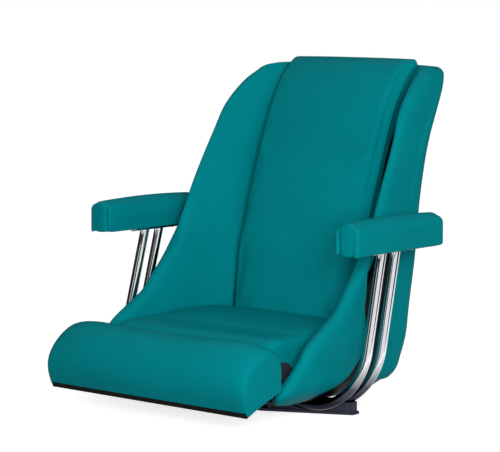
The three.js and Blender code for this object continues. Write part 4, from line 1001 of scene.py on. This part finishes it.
class Surface:
    """A Principled material with its colour, roughness and bump built from procedural textures."""

    def __init__(self, name, **constants):
        self.material = new_material(name)
        self.tree = self.material.node_tree
        self.shader = self.tree.nodes["Principled BSDF"]
        for socket, value in constants.items():
            self.shader.inputs[socket.replace("_", " ")].default_value = value
        self.place = add_node(self.tree, "TexCoord").outputs["Object"]
        self.bumps = []

    def noise(self, size_mm, detail=3.0, distortion=0.0, stretch=None):
        place = self.place
        if stretch:
            place = add_node(self.tree, "Mapping", [("Vector", place)], Scale=stretch).outputs["Vector"]
        node = add_node(self.tree, "TexNoise", [("Vector", place)],
                        Scale=1000 / size_mm, Detail=detail, Distortion=distortion)
        return node.outputs["Fac"]

    def cells(self, size_mm):
        """The distance to the edges of cells of about a size."""
        node = add_node(self.tree, "TexVoronoi", [("Vector", self.place)], Scale=1000 / size_mm)
        node.feature = "DISTANCE_TO_EDGE"
        return node.outputs["Distance"]

    def painted_reflection_by_height(self, low_mm, high_mm):
        """0 at one height of the object and 1 at another, with a little unevenness. It masks a painted
        reflection that darkens low parts.
        """
        split = add_node(self.tree, "SeparateXYZ", [(0, self.place)])
        uneven = add_node(self.tree, "Math")
        uneven.operation = "MULTIPLY_ADD"
        uneven.inputs[1].default_value = 2 * UNEVEN_MM * MM
        self.tree.links.new(self.noise(25), uneven.inputs[0])
        self.tree.links.new(split.outputs["Z"], uneven.inputs[2])
        return self.ranged(uneven.outputs[0], 0, 1, (low_mm + UNEVEN_MM) * MM, (high_mm + UNEVEN_MM) * MM)

    def ranged(self, source, low, high, start=0.3, end=0.7):
        return add_node(self.tree, "MapRange", [("Value", source)],
                        From_Min=start, From_Max=end, To_Min=low, To_Max=high).outputs["Result"]

    def colours(self, source, *colours, places=(0.3, 0.7)):
        ramp_node = add_node(self.tree, "ValToRGB", [("Fac", source)])
        elements = ramp_node.color_ramp.elements
        while len(elements) < len(colours):
            elements.new(0.5)
        for element, place, colour in zip(elements, places, colours):
            element.position = place
            element.color = rgb(colour)
        self.tree.links.new(ramp_node.outputs["Color"], self.shader.inputs["Base Color"])

    def rough(self, source, low, high):
        self.tree.links.new(self.ranged(source, low, high), self.shader.inputs["Roughness"])

    def bump(self, source, height_mm, strength=1.0):
        links = [("Height", source)] + [("Normal", normal) for normal in self.bumps[-1:]]
        node = add_node(self.tree, "Bump", links, Distance=height_mm * MM, Strength=strength)
        self.bumps.append(node.outputs["Normal"])
        self.tree.links.new(self.bumps[-1], self.shader.inputs["Normal"])


def make_materials():
    vinyl = Surface("vinyl", Specular_IOR_Level=0.03)
    vinyl.colours(vinyl.noise(90), "008188", "00868E")
    vinyl.rough(vinyl.noise(30), 0.44, 0.54)
    vinyl.bump(vinyl.ranged(vinyl.cells(1.3), 0, 1, 0, 0.25), 0.035, 0.5)
    vinyl.bump(vinyl.noise(70, detail=1), 0.5, 0.6)

    shell = Surface("shell_plastic", Specular_IOR_Level=0.08)
    shell.colours(shell.noise(40), "050506", "08080B", places=(0.35, 0.7))
    shell.rough(shell.noise(12), 0.42, 0.58)
    shell.bump(shell.noise(0.9, detail=2), 0.05)

    chrome = Surface("chrome", Metallic=1.0)
    # The chrome is painted darker and bluish towards the hoops' bottom bends. This is a painted reflection
    # of the dark shell and underside beside them, not the metal's own colour.
    chrome.colours(chrome.painted_reflection_by_height(28, 118), "20222C", "4A4D58", "DCDEE1", places=(0, 0.3, 1))
    chrome.rough(chrome.noise(18, stretch=(1, 1, 6)), 0.06, 0.12)

    casting = Surface("painted_casting", Specular_IOR_Level=0.2)
    casting.colours(casting.noise(25), "262834", "30313F")
    casting.rough(casting.noise(8), 0.4, 0.55)
    casting.bump(casting.noise(3.5, detail=2), 0.12)

    steel = Surface("brushed_steel", Metallic=1.0)
    steel.colours(steel.noise(15), "83868A", "989A9D")
    steel.rough(steel.noise(2, stretch=(1, 12, 12)), 0.26, 0.42)
    steel.bump(steel.noise(0.8, detail=2, stretch=(1, 18, 18)), 0.01)

    plywood = Surface("plywood", Specular_IOR_Level=0.25)
    plywood.colours(plywood.noise(9, detail=5, distortion=0.6, stretch=(1, 8, 8)),
                    "2C100C", "3C1814", "48241C", places=(0.3, 0.5, 0.7))
    plywood.rough(plywood.noise(4), 0.62, 0.82)
    plywood.bump(plywood.noise(1.2, detail=4, stretch=(1, 14, 14)), 0.08)

    nylon = Surface("nylon")
    nylon.colours(nylon.noise(6), "CFCBBE", "DAD7CC")
    nylon.rough(nylon.noise(3), 0.5, 0.66)
    nylon.bump(nylon.noise(1.5), 0.03)

    rubber = Surface("rubber", Specular_IOR_Level=0.25)
    rubber.colours(rubber.noise(5), "121212", "1C1C1C")
    rubber.rough(rubber.noise(2), 0.8, 0.95)
    rubber.bump(rubber.noise(1), 0.08)

    surfaces = dict(vinyl=vinyl, shell=shell, chrome=chrome, casting=casting, steel=steel,
                    plywood=plywood, nylon=nylon, rubber=rubber)
    return {name: surface.material for name, surface in surfaces.items()}


materials = make_materials()


def dress(obj, slot, nodes, body=ROOT, padded=None):
    """Gives a new piece the material of its slot and its body, and hides the CAD nodes that it stands for.
    """
    obj.data.materials.append(materials[slot])
    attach(obj, body)
    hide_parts(*nodes)


def sharpen(obj, degrees=50):
    obj.data.set_sharp_from_angle(angle=math.radians(degrees))


def smooth_once(obj):
    subdivided = obj.modifiers.new("smooth", "SUBSURF")
    subdivided.levels = subdivided.render_levels = 1


# Soft pieces

def add_soft_pieces():
    seat = make_seat_cushion()
    back = make_back_cushion()
    bolster = make_bolster()
    wing = make_wing()
    panel = make_rear_panel()
    arm = make_arm_pad()
    other_wing, other_arm = mirrored_copy(wing, "wing_pad_right"), mirrored_copy(arm, "arm_pad_right")
    for pad, body, padded, nodes in (
        (seat, ROOT, 0.85, ["seat_cover", "seat_foam"]),
        (back, ROOT, 0.85, ["back_cover", "back_foam"]),
        (bolster, BOLSTER, 0.9, ["bolster_cover", "bolster_foam"]),
        (panel, ROOT, 0.3, ["rear_panel_cover", "rear_panel_board"]),
        (wing, ROOT, 0.85, ["wing_cover_left", "wing_foam_left"]),
        (other_wing, ROOT, 0.85, ["wing_cover_right", "wing_foam_right"]),
        (arm, ROOT, 0.85, ["arm_cover_left", "arm_foam_left", "arm_board_left"]),
        (other_arm, ROOT, 0.85, ["arm_cover_right", "arm_foam_right", "arm_board_right"]),
    ):
        dress(pad, "vinyl", nodes, body, padded)
    for pad in (seat, back, bolster, arm, other_arm, wing, other_wing, panel):
        sharpen(pad)
    for pad in (seat, back, bolster, arm, other_arm):
        smooth_once(pad)


# Hard pieces

def add_hard_pieces():
    dress(make_shell(), "shell", ["bucket_shell"])
    for name, front_y in (("front", HOOP_FRONT_Y), ("rear", HOOP_FRONT_Y + HOOP_SPACING)):
        hoop = tube(f"hoop_tube_{name}", hoop_line(front_y), TUBE_RADIUS, TUBE_WALL)
        dress(hoop, "chrome", [f"hoop_{name}"])
        sharpen(hoop)


def both_sides(*kinds):
    return [f"{kind}_{side}" for kind in kinds for side in ("left", "right")]


CAD_MATERIALS = {
    "shell": ["bolster_board"],
    "chrome": both_sides("arm_plate"),
    "plywood": ["seat_board", "seat_plinth", "back_board"],
    "rubber": both_sides("bolster_bumper"),
    "nylon": both_sides("pivot_bush"),
    "casting": ["base_plate"] + both_sides(
        "saddle", "hoop_clamp", "rear_spacer", "bolster_arm", "hinge_bracket", "pivot_pin",
    ),
    "steel": both_sides(
        "mount_bolt_inner", "mount_bolt_outer", "mount_bolt_rear", "seat_screw_front", "seat_screw_rear",
        "arm_screw_front", "arm_screw_rear",
    ),
}
BEVELS = {
    "base_plate": 1.2, "saddle": 1.8, "hoop_clamp": 1.8, "rear_spacer": 1, "seat_plinth": 1.2,
    "bolster_board": 2, "bolster_arm": 0.9, "hinge_bracket": 0.9, "arm_plate": 0.7, "bolster_bumper": 0.7,
    "pivot_pin": 0.5,
}
BEVEL_ANGLE = 40


def finish_cad_nodes():
    for slot, names in CAD_MATERIALS.items():
        for name in names:
            obj = bpy.data.objects[name]
            for place in obj.material_slots:
                place.material = materials[slot]
            width = next((w for key, w in BEVELS.items() if name.startswith(key)), None)
            if width:
                bevel = obj.modifiers.new("edges", "BEVEL")
                bevel.width = width * MM
                bevel.segments = 3
                bevel.limit_method = "ANGLE"
                bevel.angle_limit = math.radians(BEVEL_ANGLE)


# Floor, light and camera, with their places in metres

WORLD_LIGHT = 0.35
FLOOR_REACH = 14
FLOOR_SHADE = 0.75
FLOOR_GLOW = 0.78
FLOOR_BOUNCE = 0.2
LAMPS = [("key", (2.44, -2.44, 0.95), 1.1, 86), ("side", (2.95, -0.6, 1.6), 1.2, 10)]
LAMP_AIM = (0, 0, 0.35)
FLAGS = [("flag_behind", 170, 136, 0.01), ("flag_left", -68, 112, 0.01), ("flag_front", 16, 36, 0.2)]
FLAG_DISTANCE = 2.9
FLAG_HEIGHT = 3.2
CAMERA_ANGLES = (40.5, 6.3)
CAMERA_AIM = (0, -0.030, 0.342)
CAMERA_DISTANCE = 4.3
CAMERA_LENS = 156.96


def grey(shade):
    return (shade, shade, shade, 1)


def show_two(tree, unseen, seen, output):
    """The camera, gloss and glass see one shader, and all other light meets the other."""
    path = add_node(tree, "LightPath")
    rays = path.outputs["Is Camera Ray"]
    for name in ("Is Glossy Ray", "Is Transmission Ray"):
        node = add_node(tree, "Math", [(0, rays), (1, path.outputs[name])])
        node.operation = "MAXIMUM"
        rays = node.outputs[0]
    both = add_node(tree, "MixShader", [(0, rays), (1, unseen.outputs[0]), (2, seen.outputs[0])])
    tree.links.new(both.outputs[0], tree.nodes[output].inputs["Surface"])


def add_world():
    world = bpy.data.worlds.new("studio")
    bpy.context.scene.world = world
    world.use_nodes = True
    tree = world.node_tree
    plain = tree.nodes["Background"]
    plain.inputs["Color"].default_value = grey(1)
    plain.inputs["Strength"].default_value = 1
    soft = add_node(tree, "Background", Color=grey(1), Strength=WORLD_LIGHT)
    show_two(tree, soft, plain, "World Output")


def add_floor():
    """A white floor that shadows darken, and that throws little light back on the seat."""
    r = FLOOR_REACH / MM
    floor = make_object("floor", [(-r, -r, 0), (r, -r, 0), (r, r, 0), (-r, r, 0)], [(0, 1, 2, 3)])
    material = new_material("floor")
    tree = material.node_tree
    tree.nodes.remove(tree.nodes["Principled BSDF"])
    matte = add_node(tree, "BsdfDiffuse", Color=grey(FLOOR_SHADE))
    glow = add_node(tree, "Emission", Strength=FLOOR_GLOW)
    seen = add_node(tree, "AddShader", [(0, matte.outputs[0]), (1, glow.outputs[0])])
    show_two(tree, add_node(tree, "BsdfDiffuse", Color=grey(FLOOR_BOUNCE)), seen, "Material Output")
    floor.data.materials.append(material)


def add_flag(name, azimuth, spread, shade):
    """A dark card beside the set. Only gloss sees it, and it gives bright metal its dark edges."""
    angles = [math.radians(azimuth + spread * t) for t in np.linspace(-0.5, 0.5, 9)]
    foot = [(FLAG_DISTANCE / MM * math.sin(a), -FLAG_DISTANCE / MM * math.cos(a)) for a in angles]
    vertices = [(x, y, z) for z in (0, FLAG_HEIGHT / MM) for x, y in foot]
    count = len(foot)
    flag = make_object(name, vertices, [(i, i + 1, count + i + 1, count + i) for i in range(count - 1)])
    material = new_material(name)
    material.node_tree.nodes["Principled BSDF"].inputs["Base Color"].default_value = grey(shade)
    flag.data.materials.append(material)
    flag.visible_camera = flag.visible_diffuse = flag.visible_shadow = False


def add_lamp(name, place, size, power):
    """A square lamp that gloss doesn't see."""
    lamp = bpy.data.lights.new(name, "AREA")
    lamp.size = size
    lamp.energy = power
    obj = bpy.data.objects.new(name, lamp)
    obj.location = place
    aim = Vector(LAMP_AIM) - Vector(place)
    obj.rotation_euler = aim.to_track_quat("-Z", "Y").to_euler()
    obj.visible_glossy = False
    bpy.context.scene.collection.objects.link(obj)


def add_camera():
    scene = bpy.context.scene
    camera = bpy.data.cameras.new("camera")
    camera.lens = CAMERA_LENS
    camera.sensor_width = 36
    camera.clip_end = 100
    obj = bpy.data.objects.new("camera", camera)
    azimuth, elevation = map(math.radians, CAMERA_ANGLES)
    offset = Vector((math.sin(azimuth) * math.cos(elevation), -math.cos(azimuth) * math.cos(elevation),
                     math.sin(elevation)))
    obj.location = Vector(CAMERA_AIM) + offset * CAMERA_DISTANCE
    obj.rotation_euler = (-offset).to_track_quat("-Z", "Y").to_euler()
    scene.collection.objects.link(obj)
    scene.camera = obj
    scene.view_settings.view_transform = "Standard"


def add_studio():
    add_world()
    add_floor()
    for flag in FLAGS:
        add_flag(*flag)
    for lamp in LAMPS:
        add_lamp(*lamp)
    add_camera()


add_soft_pieces()
add_hard_pieces()
finish_cad_nodes()
add_studio()
